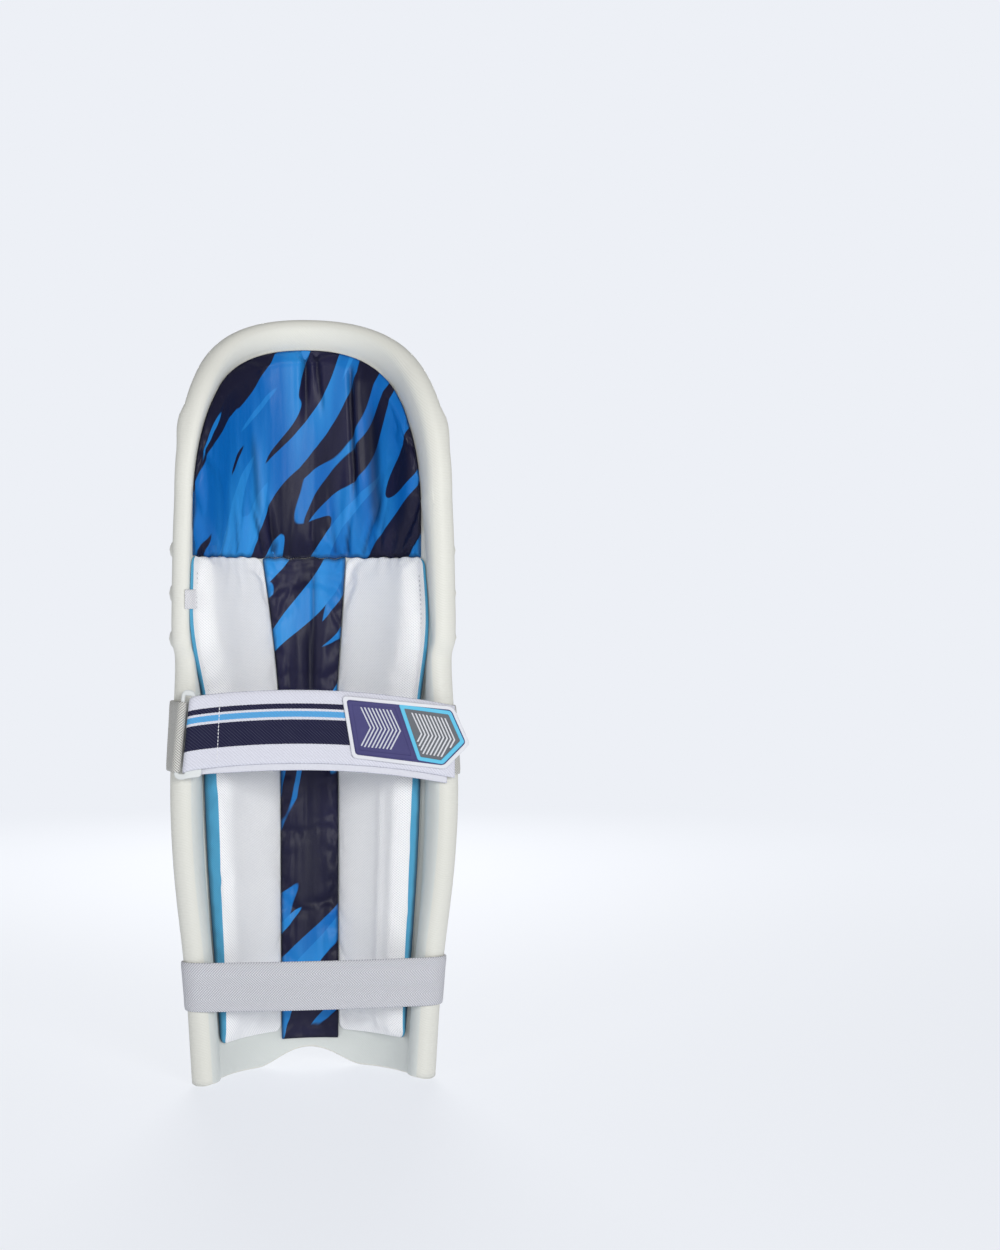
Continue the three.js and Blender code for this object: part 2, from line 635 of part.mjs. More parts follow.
// Assembly
const pad = new THREE.Group();
const piece = (name, geometry, paint) => {
  const mesh = new THREE.Mesh(geometry, new THREE.MeshStandardMaterial({ ...PAINT[paint], metalness: 0 }));
  mesh.name = name;
  pad.add(mesh);
};
piece('shell', shellGeometry(), 'foam');
piece('knee_lining', kneeLiningGeometry(), 'satin');
piece('shin_lining', shinLiningGeometry(), 'satin');
piece('inner_bolster', bolsterGeometry(-1), 'mesh');
piece('outer_bolster', bolsterGeometry(1), 'mesh');
piece('inner_anchor', innerAnchorGeometry(), 'webbing');
piece('outer_anchor', outerAnchorGeometry(), 'webbing');
piece('strap_ring', ringGeometry(), 'plastic');
piece('calf_strap', band(strapLine, [-STRAP.width / 2, STRAP.width / 2], STRAP.thick), 'strap');
piece('strap_patch', patchGeometry(), 'rubber');
piece('side_tag', tagGeometry(), 'strap');
piece('ankle_strap', ankleStrapGeometry(), 'webbing');

// The origin is the middle of the floor under the whole pad.
const box = new THREE.Box3().setFromObject(pad);
const middle = box.getCenter(new THREE.Vector3());
pad.position.set(-middle.x, -middle.y, -box.min.z);

export default pad;
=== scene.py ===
import math

import bpy
import numpy as np
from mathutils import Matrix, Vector


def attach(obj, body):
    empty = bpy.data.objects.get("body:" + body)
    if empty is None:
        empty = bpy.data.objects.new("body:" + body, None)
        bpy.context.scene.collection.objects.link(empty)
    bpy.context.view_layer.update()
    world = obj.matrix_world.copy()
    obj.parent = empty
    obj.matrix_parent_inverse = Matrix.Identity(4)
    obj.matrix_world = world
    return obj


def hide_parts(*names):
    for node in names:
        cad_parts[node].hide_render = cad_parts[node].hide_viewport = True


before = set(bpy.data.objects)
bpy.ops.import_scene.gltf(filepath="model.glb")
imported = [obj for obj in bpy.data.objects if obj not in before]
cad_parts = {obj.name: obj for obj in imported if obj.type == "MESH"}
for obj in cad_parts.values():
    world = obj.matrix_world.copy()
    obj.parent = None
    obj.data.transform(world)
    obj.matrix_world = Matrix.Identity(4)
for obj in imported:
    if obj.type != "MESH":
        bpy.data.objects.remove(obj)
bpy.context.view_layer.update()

mm = 0.001
padShift = np.array([-2.143, 61.658, 0.0])  # from the pad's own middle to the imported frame, mm

# The pad's curved frame, in millimetres
padSize = {
    "height": 710.0, "crownStart": 540.0, "crownPower": 2.2, "bend": math.pi / 3,
    "wall": 14.0, "lip": 3.0, "lipWidth": 9.0, "rimRound": 7.0, "crestPart": 0.45, "crestFar": 13.0,
    "crevice": 6.0, "creviceOff": 1.0, "creviceWide": 2.6, "creviceFoot": (30, 44), "creviceTop": (355, 385),
    "kneeHeight": 440.0, "crownLean": 20.0, "shinLean": 6.0,
    "arch": 16.0, "archHalf": 58.0, "footRound": 3.0,
}
sections = {
    "z": [0, 100, 200, 275, 350, 393, 408, 450, 500, 550, 710],
    "radius": [106, 111, 117, 118, 118, 118, 118, 118, 118, 118, 117],
    "wing": [42, 46, 56, 60, 53, 50.5, 56, 56, 54, 50.5, 50],
}
beadRows = {
    "z": [34, 150, 270, 350, 400, 440, 520, 560, 600, 642, 681, 710],
    "inner": [28, 30.5, 33.5, 24.5, 9, 8, 8, 10, 15.5, 23, 30.5, 31],
    "outer": [26, 27, 32, 25, 18, 21.5, 28.5, 34.5, 37, 36.5, 31, 31],
    "innerWall": [20, 20, 20, 20, 15.6, 14.6, 14.6, 15, 16.8, 18.8, 20, 20],
    "outerWall": [20, 20, 20, 20, 20, 20, 20, 20, 20, 20, 20, 20],
}
ribSize = {
    "crown": [0, 43, 82, 119], "shin": [0, 37, 75, 108],
    "height": 9.0, "power": 2.6, "border": 8.0, "endPart": 0.72, "footFade": (8, 34),
}
rollSize = {
    "middle": [373, 419, 464, 508], "rise": [18, 12, 10, 2],
    "height": 13.0, "power": 2.4, "border": 9.0,
}
tau = 2 * math.pi


def lerp(a, b, t):
    return a + (b - a) * t


def gauss(value, middle, width):
    return np.exp(-((value - middle) / width) ** 2)


def smooth(value, low, high):
    t = np.clip((np.asarray(value, float) - low) / (high - low), 0, 1)
    return t * t * (3 - 2 * t)


def fading(value, low, high):
    return 1 - smooth(value, low, high)


def valueAt(rows, column, z):
    heights = np.array(rows["z"], float)
    values = np.array(rows[column], float)
    last = len(heights) - 1
    z = np.asarray(z, float)
    k = np.clip(np.searchsorted(heights, z, side="left") - 1, 0, last - 1)
    below = np.maximum(np.arange(last + 1) - 1, 0)
    above = np.minimum(np.arange(last + 1) + 1, last)
    slopes = (values[above] - values[below]) / (heights[above] - heights[below])
    span = heights[k + 1] - heights[k]
    t = np.clip((z - heights[k]) / span, 0, 1)
    s = t * t * (3 - 2 * t)
    turn = slopes[k] * (1 - t) - slopes[k + 1] * t
    return lerp(values[k], values[k + 1], s) + turn * span * t * (1 - t)


def edgeArc(z):
    return valueAt(sections, "radius", z) * padSize["bend"] + valueAt(sections, "wing", z)


crownSpan = float(edgeArc(padSize["crownStart"]))


def frontLine(z):
    above = np.maximum(z - padSize["kneeHeight"], 0) / (padSize["height"] - padSize["kneeHeight"])
    below = np.maximum(padSize["kneeHeight"] - z, 0) / padSize["kneeHeight"]
    return -padSize["crownLean"] * above ** 2 - padSize["shinLean"] * below ** 2


def padPoint(s, z, d):
    s, z, d = np.broadcast_arrays(np.asarray(s, float), np.asarray(z, float), np.asarray(d, float))
    radius = valueAt(sections, "radius", z)
    turn = np.minimum(np.abs(s) / radius, padSize["bend"])
    flat = np.abs(s) - turn * radius
    x = (radius - d) * np.sin(turn) + flat * np.cos(turn)
    back = radius - (radius - d) * np.cos(turn) + flat * np.sin(turn)
    return np.stack([np.where(s < 0, -x, x), frontLine(z) - back, z], -1)


def crownTop(s, span, start, top):
    across = np.minimum(np.abs(s) / span, 1) ** padSize["crownPower"]
    return start + (top - start) * (1 - across) ** (1 / padSize["crownPower"])


def outlineFrom(s, z):
    power = padSize["crownPower"]
    rise = padSize["height"] - padSize["crownStart"]
    u = np.abs(s) / crownSpan
    v = np.maximum(z - padSize["crownStart"], 0) / rise
    slopeS = power * u ** (power - 1) / crownSpan
    slopeZ = power * v ** (power - 1) / rise
    size = np.maximum(np.hypot(slopeS, slopeZ), 1e-9)
    crownGap = (1 - u ** power - v ** power) / size
    low = z <= padSize["crownStart"]
    gap = np.where(low, edgeArc(z) - np.abs(s), crownGap)
    outS = np.where(low, np.sign(s), np.sign(s) * slopeS / size)
    outZ = np.where(low, 0.0, slopeZ / size)
    return gap, outS, outZ


def lowerEdge(s):
    return padSize["arch"] * np.maximum(1 - (s / padSize["archHalf"]) ** 2, 0) ** 2


def rollEdge(k, s):
    return rollSize["middle"][k] + rollSize["rise"][k] * (s / crownSpan) ** 2


def pillow(f, half, endAway, power):
    near = np.clip(endAway / half, 0, 1)
    wide = np.sqrt(np.maximum(1 - (1 - near) ** 2, 0))
    body = np.maximum(1 - np.abs(f / np.maximum(wide, 1e-6)) ** power, 0)
    return np.where(wide < 1e-6, 0, body * np.sqrt(wide))


def ribRelief(s, z, grooves, crown):
    arc = np.abs(s)
    lastEdge = edgeArc(np.minimum(z, padSize["crownStart"])) - ribSize["border"]
    edges = [np.full_like(arc, g) for g in grooves] + [lastEdge]
    out = np.zeros_like(arc)
    for r in range(len(grooves)):
        half = (edges[r + 1] - edges[r]) / 2
        f = (arc - edges[r]) / half - 1
        away = np.full_like(arc, 1e6)
        if crown:
            middle = lerp(edges[r], edges[r + 1], ribSize["endPart"])
            top = crownTop(middle, crownSpan, padSize["crownStart"], padSize["height"])
            away = top - ribSize["border"] - z
        here = (arc >= edges[r]) & (arc < edges[r + 1])
        out = np.where(here, ribSize["height"] * pillow(f, half, away, ribSize["power"]), out)
    return out


def rollRelief(s, z):
    out = np.zeros_like(s)
    away = edgeArc(z) - rollSize["border"] - np.abs(s)
    for k in range(3):
        half = (rollEdge(k + 1, s) - rollEdge(k, s)) / 2
        f = (z - rollEdge(k, s)) / half - 1
        here = (z >= rollEdge(k, s)) & (z < rollEdge(k + 1, s))
        out = np.where(here, rollSize["height"] * pillow(f, half, away, rollSize["power"]), out)
    return out


def relief(s, z):
    s, z = np.broadcast_arrays(np.asarray(s, float), np.asarray(z, float))
    gap, _, _ = outlineFrom(s, z)
    lip = padSize["lip"] * fading(gap, padSize["rimRound"], padSize["rimRound"] + padSize["lipWidth"])
    aboveKnee = z > (rollEdge(2, s) + rollEdge(3, s)) / 2
    belowKnee = z < (rollEdge(0, s) + rollEdge(1, s)) / 2
    shin = ribRelief(s, z, ribSize["shin"], False) * smooth(z - lowerEdge(s), *ribSize["footFade"])
    shin = np.where(np.abs(s) > ribSize["shin"][-1], 0, shin)
    crown = ribRelief(s, z, ribSize["crown"], True)
    ribs = np.where(aboveKnee, crown, np.where(belowKnee, shin, 0))
    return np.maximum(np.maximum(lip, ribs), rollRelief(s, z))


bolsterRows = {
    "z": [34, 150, 270, 350, 420, 485],
    "innerStrip": [32, 32, 32, 34, 42, 53],
    "innerWing": [127, 139, 149, 151, 172, 170],
    "outerStrip": [33, 33, 33, 32, 37, 42],
    "outerWing": [126, 138, 146, 146, 157, 151],
    "high": [12, 18, 21, 18, 14, 10],
    "side": [8, 12, 15, 6, 4, 3],
}


def bolsterEdges(side, z):
    names = ("innerStrip", "innerWing") if side < 0 else ("outerStrip", "outerWing")
    return [valueAt(bolsterRows, name, z) for name in names]


def bolsterEdge(s, z, which):
    return np.where(np.asarray(s) < 0, bolsterEdges(-1, z)[which], bolsterEdges(1, z)[which])


def bySide(s, inner, outer, z):
    return np.where(np.asarray(s) < 0, valueAt(beadRows, inner, z), valueAt(beadRows, outer, z))


# The rim's round section at a distance from the outline: up to a crest, then down to the inner face
def rimDepth(s, z, gap):
    bead = bySide(s, "inner", "outer", z)
    wall = bySide(s, "innerWall", "outerWall", z)
    crest = np.clip(padSize["crestPart"] * bead, padSize["rimRound"], padSize["crestFar"])
    middle = (wall - padSize["lip"]) / 2
    out = np.clip(1 - gap / crest, 0, 1)
    back = np.clip((gap - crest) / np.maximum(bead - crest, 0.5), 0, 1)
    rising = lerp(middle, wall, np.sqrt(1 - out ** 2))
    falling = lerp(padSize["wall"], wall, 0.5 * np.sqrt(1 - back ** 2) + 0.5 * np.cos(back * np.pi / 2))
    foot = edgeArc(z) - bolsterEdge(s, z, 1)
    crevice = padSize["crevice"] * gauss(gap, foot + padSize["creviceOff"], padSize["creviceWide"])
    crevice = crevice * fading(z, *padSize["creviceTop"]) * smooth(z, *padSize["creviceFoot"])
    return np.where(gap < crest, rising, falling - crevice)


# Mesh helpers
def activate(piece):
    bpy.ops.object.select_all(action="DESELECT")
    piece.select_set(True)
    bpy.context.view_layer.objects.active = piece


def addPrimitive(operator, name, **settings):
    bpy.ops.object.select_all(action="DESELECT")
    operator(**settings)
    made = bpy.context.object
    made.name = name
    made.data.name = name
    return made


def addObject(name, data):
    made = bpy.data.objects.new(name, data)
    bpy.context.collection.objects.link(made)
    return made


def addMesh(name, points, faces):
    mesh = bpy.data.meshes.new(name)
    mesh.from_pydata(points, [], faces)
    return addObject(name, mesh)


def makeSlab(name, columns, rows, layers):
    grid = bpy.ops.mesh.primitive_grid_add
    slab = addPrimitive(grid, name, x_subdivisions=columns, y_subdivisions=rows, size=2)
    bpy.ops.object.mode_set(mode="EDIT")
    bpy.ops.mesh.select_all(action="SELECT")
    for _ in range(layers):
        bpy.ops.mesh.extrude_region_move(TRANSFORM_OT_translate={"value": (0, 0, 1)})
    bpy.ops.object.mode_set(mode="OBJECT")
    spots = readPoints(slab)
    i = np.rint((spots[:, 0] + 1) / 2 * columns).astype(int)
    j = np.rint((spots[:, 1] + 1) / 2 * rows).astype(int)
    k = np.rint(spots[:, 2]).astype(int)
    return slab, i, j, k


def readPoints(piece):
    data = np.empty(len(piece.data.vertices) * 3)
    piece.data.vertices.foreach_get("co", data)
    return data.reshape(-1, 3)


def writePoints(piece, points):
    piece.data.vertices.foreach_set("co", np.ascontiguousarray(points, dtype=np.float32).ravel())
    piece.data.update()


def placePoints(piece, points):
    writePoints(piece, (points + padShift) * mm)


def faceOut(piece):
    activate(piece)
    bpy.ops.object.mode_set(mode="EDIT")
    bpy.ops.mesh.select_all(action="SELECT")
    bpy.ops.mesh.normals_make_consistent(inside=False)
    bpy.ops.object.mode_set(mode="OBJECT")
    bpy.ops.object.shade_smooth()


def readInts(items, key):
    out = np.empty(len(items), dtype=np.int32)
    items.foreach_get(key, out)
    return out


def setUv(piece, u, v):
    layer = piece.data.uv_layers.get("UVMap") or piece.data.uv_layers.new(name="UVMap")
    loops = readInts(piece.data.loops, "vertex_index")
    both = np.stack([u[loops], v[loops]], -1) * mm
    layer.data.foreach_set("uv", both.astype(np.float32).ravel())


def setAttribute(piece, name, values):
    layer = piece.data.attributes.new(name=name, type="FLOAT", domain="POINT")
    layer.data.foreach_set("value", np.ascontiguousarray(values, dtype=np.float32))


def polygonMeans(piece, values):
    loops = readInts(piece.data.loops, "vertex_index")
    starts = readInts(piece.data.polygons, "loop_start")
    totals = readInts(piece.data.polygons, "loop_total")
    return np.add.reduceat(values[loops].astype(float), starts) / totals


def setMaterials(piece, materials, index=None):
    piece.data.materials.clear()
    for material in materials:
        piece.data.materials.append(material)
    if index is not None:
        piece.data.polygons.foreach_set("material_index", np.asarray(index, dtype=np.int32))
    piece.data.update()


def subdivide(piece, levels):
    activate(piece)
    added = piece.modifiers.new("fine", "SUBSURF")
    added.levels = levels
    added.render_levels = levels
    bpy.ops.object.modifier_apply(modifier=added.name)


def finishPiece(piece, nodes=()):
    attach(piece, "root")
    if nodes:
        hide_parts(*nodes)
    print("made", piece.name, len(piece.data.polygons), "faces")


# Simulated padding: the held points stay, the rest swells under pressure, up to a cap
clothSize = {
    "quality": 5, "mass": 0.15, "tension_stiffness": 12, "compression_stiffness": 12, "shear_stiffness": 6,
    "bending_stiffness": 0.4, "air_damping": 2, "use_pressure": True,
}
swellFrames = 20


def swell(piece, held, pressure, cap, growth):
    before = readPoints(piece)
    group = piece.vertex_groups.new(name="held")
    group.add([int(n) for n in np.flatnonzero(held)], 1.0, "REPLACE")
    cloth = piece.modifiers.new("swell", "CLOTH")
    for key, value in clothSize.items():
        setattr(cloth.settings, key, value)
    cloth.settings.uniform_pressure_force = pressure
    cloth.settings.vertex_group_mass = group.name
    cloth.settings.shrink_min = -growth
    cloth.settings.effector_weights.gravity = 0
    cloth.collision_settings.use_collision = False
    cloth.point_cache.frame_start = 1
    cloth.point_cache.frame_end = swellFrames
    for now in range(1, swellFrames + 1):
        bpy.context.scene.frame_set(now)
    shown = piece.evaluated_get(bpy.context.evaluated_depsgraph_get())
    after = np.empty(len(before) * 3)
    shown.data.vertices.foreach_get("co", after)
    moved = after.reshape(-1, 3) - before
    far = np.linalg.norm(moved, axis=1)
    limit = cap * mm
    kept = limit * np.tanh(far / limit)
    piece.modifiers.remove(cloth)
    piece.vertex_groups.remove(group)
    writePoints(piece, before + moved * (kept / np.maximum(far, 1e-9))[:, None])
    bpy.context.scene.frame_set(1)
    print("swelled", piece.name, "by up to", round(float(kept.max()) / mm, 1), "mm")


# Node helpers
def startMaterial(name, roughness=0.5, sheen=0.0, specular=0.5):
    made = bpy.data.materials.new(name)
    made.use_nodes = True
    shader = made.node_tree.nodes["Principled BSDF"]
    shader.inputs["Roughness"].default_value = roughness
    shader.inputs["Sheen Weight"].default_value = sheen
    shader.inputs["Specular IOR Level"].default_value = specular
    return made, made.node_tree


def addNode(tree, kind, inputs=None, **settings):
    made = tree.nodes.new(kind)
    for key, value in settings.items():
        setattr(made, key, value)
    for key, value in (inputs or {}).items():
        if isinstance(value, bpy.types.NodeSocket):
            tree.links.new(value, made.inputs[key])
        else:
            made.inputs[key].default_value = value
    return made


def calc(tree, operation, first, second=0.0, third=0.0):
    made = addNode(tree, "ShaderNodeMath", {0: first, 1: second, 2: third}, operation=operation)
    return made.outputs[0]


def times(tree, first, second):
    return calc(tree, "MULTIPLY", first, second)


def timesPlus(tree, first, second, third):
    return calc(tree, "MULTIPLY_ADD", first, second, third)


def blendColor(tree, factor, first, second):
    made = addNode(tree, "ShaderNodeMix", {0: factor, 6: first, 7: second}, data_type="RGBA")
    return made.outputs[2]


def step(tree, value, low, high):
    settings = {"Value": value, "From Min": low, "From Max": high}
    made = addNode(tree, "ShaderNodeMapRange", settings, interpolation_type="SMOOTHSTEP")
    return made.outputs[0]


def uvParts(tree):
    uv = addNode(tree, "ShaderNodeUVMap", uv_map="UVMap").outputs["UV"]
    parts = addNode(tree, "ShaderNodeSeparateXYZ", {0: uv})
    return parts.outputs[0], parts.outputs[1]


def noise(tree, scale, detail=2.0, rough=0.5, vector=None, distortion=0.0):
    if vector is None:
        vector = addNode(tree, "ShaderNodeTexCoord").outputs["Object"]
    inputs = {"Vector": vector, "Scale": scale, "Detail": detail}
    inputs.update({"Roughness": rough, "Distortion": distortion})
    return addNode(tree, "ShaderNodeTexNoise", inputs).outputs["Fac"]


def lines(tree, u, v, pitch, degrees):
    turn = math.radians(degrees)
    along = times(tree, u, math.cos(turn) * tau / pitch)
    both = timesPlus(tree, v, math.sin(turn) * tau / pitch, along)
    wave = calc(tree, "SINE", both)
    return timesPlus(tree, wave, 0.5, 0.5)


# Links the colour, the bumps and the shine to the shader; each bump is a height and its distance
def dressed(made, color, bumps, shine=None):
    tree = made.node_tree
    shader = tree.nodes["Principled BSDF"]
    inputs = {"Strength": 1.0}
    for height, distance in bumps:
        inputs.update({"Height": height, "Distance": distance})
        inputs["Normal"] = addNode(tree, "ShaderNodeBump", inputs).outputs[0]
    tree.links.new(color, shader.inputs["Base Color"])
    tree.links.new(inputs["Normal"], shader.inputs["Normal"])
    if shine is not None:
        tree.links.new(shine, shader.inputs["Roughness"])
    return made


def plainGlow(tree, color):
    return addNode(tree, "ShaderNodeEmission", {"Color": color, "Strength": 1.0}).outputs[0]


def attribute(tree, name):
    return addNode(tree, "ShaderNodeAttribute", attribute_name=name).outputs["Fac"]


def rgb(red, green, blue):
    return (red, green, blue, 1.0)


def joinXyz(tree, x, y, z):
    return addNode(tree, "ShaderNodeCombineXYZ", {0: x, 1: y, 2: z}).outputs[0]


# Materials
def makeFoamSkin():
    made, tree = startMaterial("foamSkin", 0.5, 0.0, 0.42)
    u, v = uvParts(tree)
    twill = lines(tree, u, v, 0.0019, 52)
    cross = lines(tree, u, v, 0.0013, -40)
    weave = timesPlus(tree, cross, 0.35, twill)
    grain = noise(tree, 1400.0, 3.0, 0.6)
    cloud = noise(tree, 7.0, 3.0, 0.55)
    shadeAndSeams = attribute(tree, "shadeAndSeams")
    inside = attribute(tree, "inside")
    base = blendColor(tree, cloud, rgb(0.727, 0.724, 0.660), rgb(0.768, 0.768, 0.717))
    threads = times(tree, step(tree, twill, 0.0, 1.0), 0.06)
    base = blendColor(tree, threads, base, rgb(0.60, 0.58, 0.50))
    # Painted shade, partly a real pressed line: the front's grooves darken towards brown grey; along the rim
    # seam the darkening is a real dark joint
    base = blendColor(tree, times(tree, shadeAndSeams, 0.42), base, rgb(0.50, 0.45, 0.34))
    # Painted shade with a painted blue reflection: the shell's inner face is darkened and tinted blue grey
    base = blendColor(tree, times(tree, inside, 0.5), base, rgb(0.60, 0.67, 0.69))
    # Darker towards the bottom: the colour greys by up to a tenth below 0.22 m up the pad, fading out by
    # 0.42 m
    darkerLow = timesPlus(tree, step(tree, v, 0.22, 0.42), -0.10, 0.10)
    base = blendColor(tree, darkerLow, base, rgb(0.40, 0.40, 0.36))
    shine = timesPlus(tree, noise(tree, 60.0, 3.0), 0.25, 0.38)
    pucker = times(tree, noise(tree, 230.0, 2.0), shadeAndSeams)
    return dressed(made, base, [(weave, 0.00010), (grain, 0.00006), (pucker, 0.0012)], shine)


def makePrintSatin():
    made, tree = startMaterial("printSatin", 0.34, 0.0, 0.2)
    u, v = uvParts(tree)
    turn = math.radians(57)
    along = timesPlus(tree, v, math.sin(turn), times(tree, u, math.cos(turn)))
    across = timesPlus(tree, v, math.cos(turn), times(tree, u, -math.sin(turn)))
    sway = times(tree, calc(tree, "SINE", times(tree, along, 26.0)), 0.012)
    across = calc(tree, "ADD", across, sway)
    stretched = joinXyz(tree, along, times(tree, across, 5.6), 2.61)
    broad = noise(tree, 3.3, 1.0, 0.3, stretched, 0.2)
    thin = joinXyz(tree, along, times(tree, across, 7.0), 4.1)
    narrow = noise(tree, 4.4, 1.0, 0.3, thin, 0.15)
    calm = times(tree, step(tree, u, 0.5, 0.6), step(tree, v, 0.31, 0.36))
    blue = step(tree, timesPlus(tree, calm, -0.10, broad), 0.478, 0.484)
    bright = step(tree, narrow, 0.586, 0.592)
    cut = step(tree, narrow, 0.405, 0.411)
    drape = joinXyz(tree, u, times(tree, v, 0.16), 0.7)  # drawn out along the pad
    # Painted shade and sheen: streaks drawn out along the pad darken and lighten the navy and the blues like
    # the shading of draped satin
    tone = step(tree, noise(tree, 24.0, 2.0, 0.4, drape), 0.34, 0.66)
    navy = blendColor(tree, tone, rgb(0.007, 0.007, 0.026), rgb(0.015, 0.014, 0.046))
    mid = blendColor(tree, tone, rgb(0.002, 0.130, 0.46), rgb(0.020, 0.235, 0.62))
    color = blendColor(tree, times(tree, blue, cut), navy, mid)
    light = blendColor(tree, tone, rgb(0.012, 0.20, 0.58), rgb(0.03, 0.28, 0.70))
    color = blendColor(tree, bright, color, light)
    # Painted shade: the lining darkens towards navy along its edges and in its folds
    seam = attribute(tree, "shadeAndSeams")
    color = blendColor(tree, times(tree, seam, 0.7), color, rgb(0.005, 0.006, 0.018))
    shine = timesPlus(tree, noise(tree, 90.0, 2.0), 0.12, 0.29)
    thread = lines(tree, u, v, 0.0007, 90)
    warp = lines(tree, u, v, 0.0011, 28)
    soft = noise(tree, 62.0, 2.0, 0.4, drape)
    return dressed(made, color, [(thread, 0.00003), (warp, 0.00003), (soft, 0.0016)], shine)


def makeAirMesh(name, light, dark, pitch, sheen):
    made, tree = startMaterial(name, 0.82, sheen, 0.2)
    u, v = uvParts(tree)
    first = lines(tree, u, v, pitch, 48)
    second = lines(tree, u, v, pitch, -48)
    hole = times(tree, first, second)
    fuzz = noise(tree, 1800.0, 3.0, 0.6)
    patchy = noise(tree, 220.0, 2.0)
    cloud = noise(tree, 11.0, 3.0)
    # Painted light: the upper bolsters get fainter holes and ribs, so they read lighter
    upperPaintedLight = timesPlus(tree, step(tree, v, 0.34, 0.42), -0.4, 1.0)
    rib = times(tree, step(tree, first, 0.1, 0.9), times(tree, upperPaintedLight, 0.22))
    base = blendColor(tree, rib, light, dark)
    strength = times(tree, upperPaintedLight, timesPlus(tree, patchy, 0.5, 0.55))
    depth = times(tree, step(tree, hole, 0.25, 0.85), strength)
    base = blendColor(tree, depth, base, dark)
    base = blendColor(tree, times(tree, step(tree, cloud, 0.35, 0.75), 0.08), base, dark)
    # Painted shade: the gusset's foot is darkened almost to black where it meets the rim
    seam = times(tree, attribute(tree, "shadeAndSeams"), 0.88)
    base = blendColor(tree, seam, base, rgb(0.03, 0.04, 0.06))
    sunk = times(tree, hole, -1.0)
    return dressed(made, base, [(sunk, 0.00035), (fuzz, 0.00008)], timesPlus(tree, fuzz, 0.2, 0.7))


def makeStripeTwill(width):
    made, tree = startMaterial("stripeTwill", 0.75, 0.0, 0.12)
    u, v = uvParts(tree)
    tooth = times(tree, calc(tree, "SINE", times(tree, u, tau / 0.0013)), 0.00022)
    ragged = timesPlus(tree, noise(tree, 900.0, 2.0), 0.0005, tooth)
    place = calc(tree, "DIVIDE", calc(tree, "ADD", v, ragged), width)
    white = rgb(0.715, 0.72, 0.80)
    navy = rgb(0.0065, 0.0065, 0.035)
    sky = rgb(0.09, 0.37, 0.71)
    ramp = addNode(tree, "ShaderNodeValToRGB", {0: place})
    ramp.color_ramp.interpolation = "CONSTANT"
    ramp.color_ramp.elements[0].color = white
    ramp.color_ramp.elements[1].position = 0.262
    ramp.color_ramp.elements[1].color = navy
    stops = [(0.605, white), (0.64, sky), (0.722, white), (0.752, navy), (0.826, white)]
    for position, color in stops:
        ramp.color_ramp.elements.new(position).color = color
    twill = lines(tree, u, v, 0.0021, 48)
    weft = lines(tree, u, v, 0.0014, -60)
    speck = times(tree, step(tree, twill, 0.35, 0.85), step(tree, weft, 0.2, 0.8))
    cloud = noise(tree, 40.0, 3.0)
    base = blendColor(tree, times(tree, speck, 0.23), ramp.outputs[0], rgb(0.17, 0.18, 0.27))
    base = blendColor(tree, times(tree, cloud, 0.03), base, rgb(0.45, 0.46, 0.52))
    weave = timesPlus(tree, weft, 0.4, twill)
    return dressed(made, base, [(weave, 0.00030), (noise(tree, 2200.0, 2.0), 0.00008)])


def makePile():
    made, tree = startMaterial("loopPile", 0.9, 0.5, 0.2)
    fluff = noise(tree, 1300.0, 4.0, 0.7)
    clump = noise(tree, 260.0, 3.0)
    base = blendColor(tree, fluff, rgb(0.60, 0.61, 0.68), rgb(0.80, 0.80, 0.85))
    base = blendColor(tree, times(tree, clump, 0.25), base, rgb(0.55, 0.56, 0.62))
    return dressed(made, base, [(fluff, 0.0004), (clump, 0.0005)])


def makeHerringbone(name, light, dark, column):
    made, tree = startMaterial(name, 0.7, 0.05, 0.25)
    u, v = uvParts(tree)
    fold = calc(tree, "PINGPONG", v, column)
    rise = lines(tree, u, fold, 0.0017, 45)
    fall = lines(tree, u, fold, 0.0017, -45)
    cloud = noise(tree, 60.0, 3.0)
    thread = timesPlus(tree, fall, 0.45, rise)
    shade = step(tree, thread, 0.3, 1.15)
    base = blendColor(tree, shade, dark, light)
    base = blendColor(tree, times(tree, cloud, 0.18), base, dark)
    return dressed(made, base, [(thread, 0.00035), (noise(tree, 1500.0, 2.0), 0.00008)])


def makeMoulded(name, light, dark, rough, grain):
    made, tree = startMaterial(name, rough, 0.0, 0.35)
    cloud = noise(tree, 45.0, 3.0)
    speck = noise(tree, 900.0, 3.0, 0.6)
    base = blendColor(tree, cloud, light, dark)
    return dressed(made, base, [(speck, grain)], timesPlus(tree, speck, 0.22, rough - 0.1))


def makeThread(name, light, dark):
    made, tree = startMaterial(name, 0.6, 0.3, 0.3)
    twist = noise(tree, 1600.0, 2.0)
    return dressed(made, blendColor(tree, twist, light, dark), [(twist, 0.0002)])


strapWidth = 65.0
foamSkin = makeFoamSkin()
printSatin = makePrintSatin()
airMesh = makeAirMesh("airMesh", rgb(0.985, 0.985, 0.99), rgb(0.62, 0.64, 0.69), 0.0018, 0.0)
gussetKnit = makeAirMesh("gussetKnit", rgb(0.11, 0.45, 0.71), rgb(0.06, 0.29, 0.50), 0.0014, 0.05)
stripeTwill = makeStripeTwill(strapWidth * mm)
loopPile = makePile()
herringWeb = makeHerringbone("herringWeb", rgb(0.80, 0.795, 0.755), rgb(0.33, 0.325, 0.30), 0.5)
plainWeb = makeHerringbone("plainWeb", rgb(0.72, 0.725, 0.76), rgb(0.45, 0.455, 0.50), 0.0110)
milkyPlastic = makeMoulded("milkyPlastic", rgb(0.74, 0.76, 0.75), rgb(0.66, 0.69, 0.69), 0.34, 0.00004)
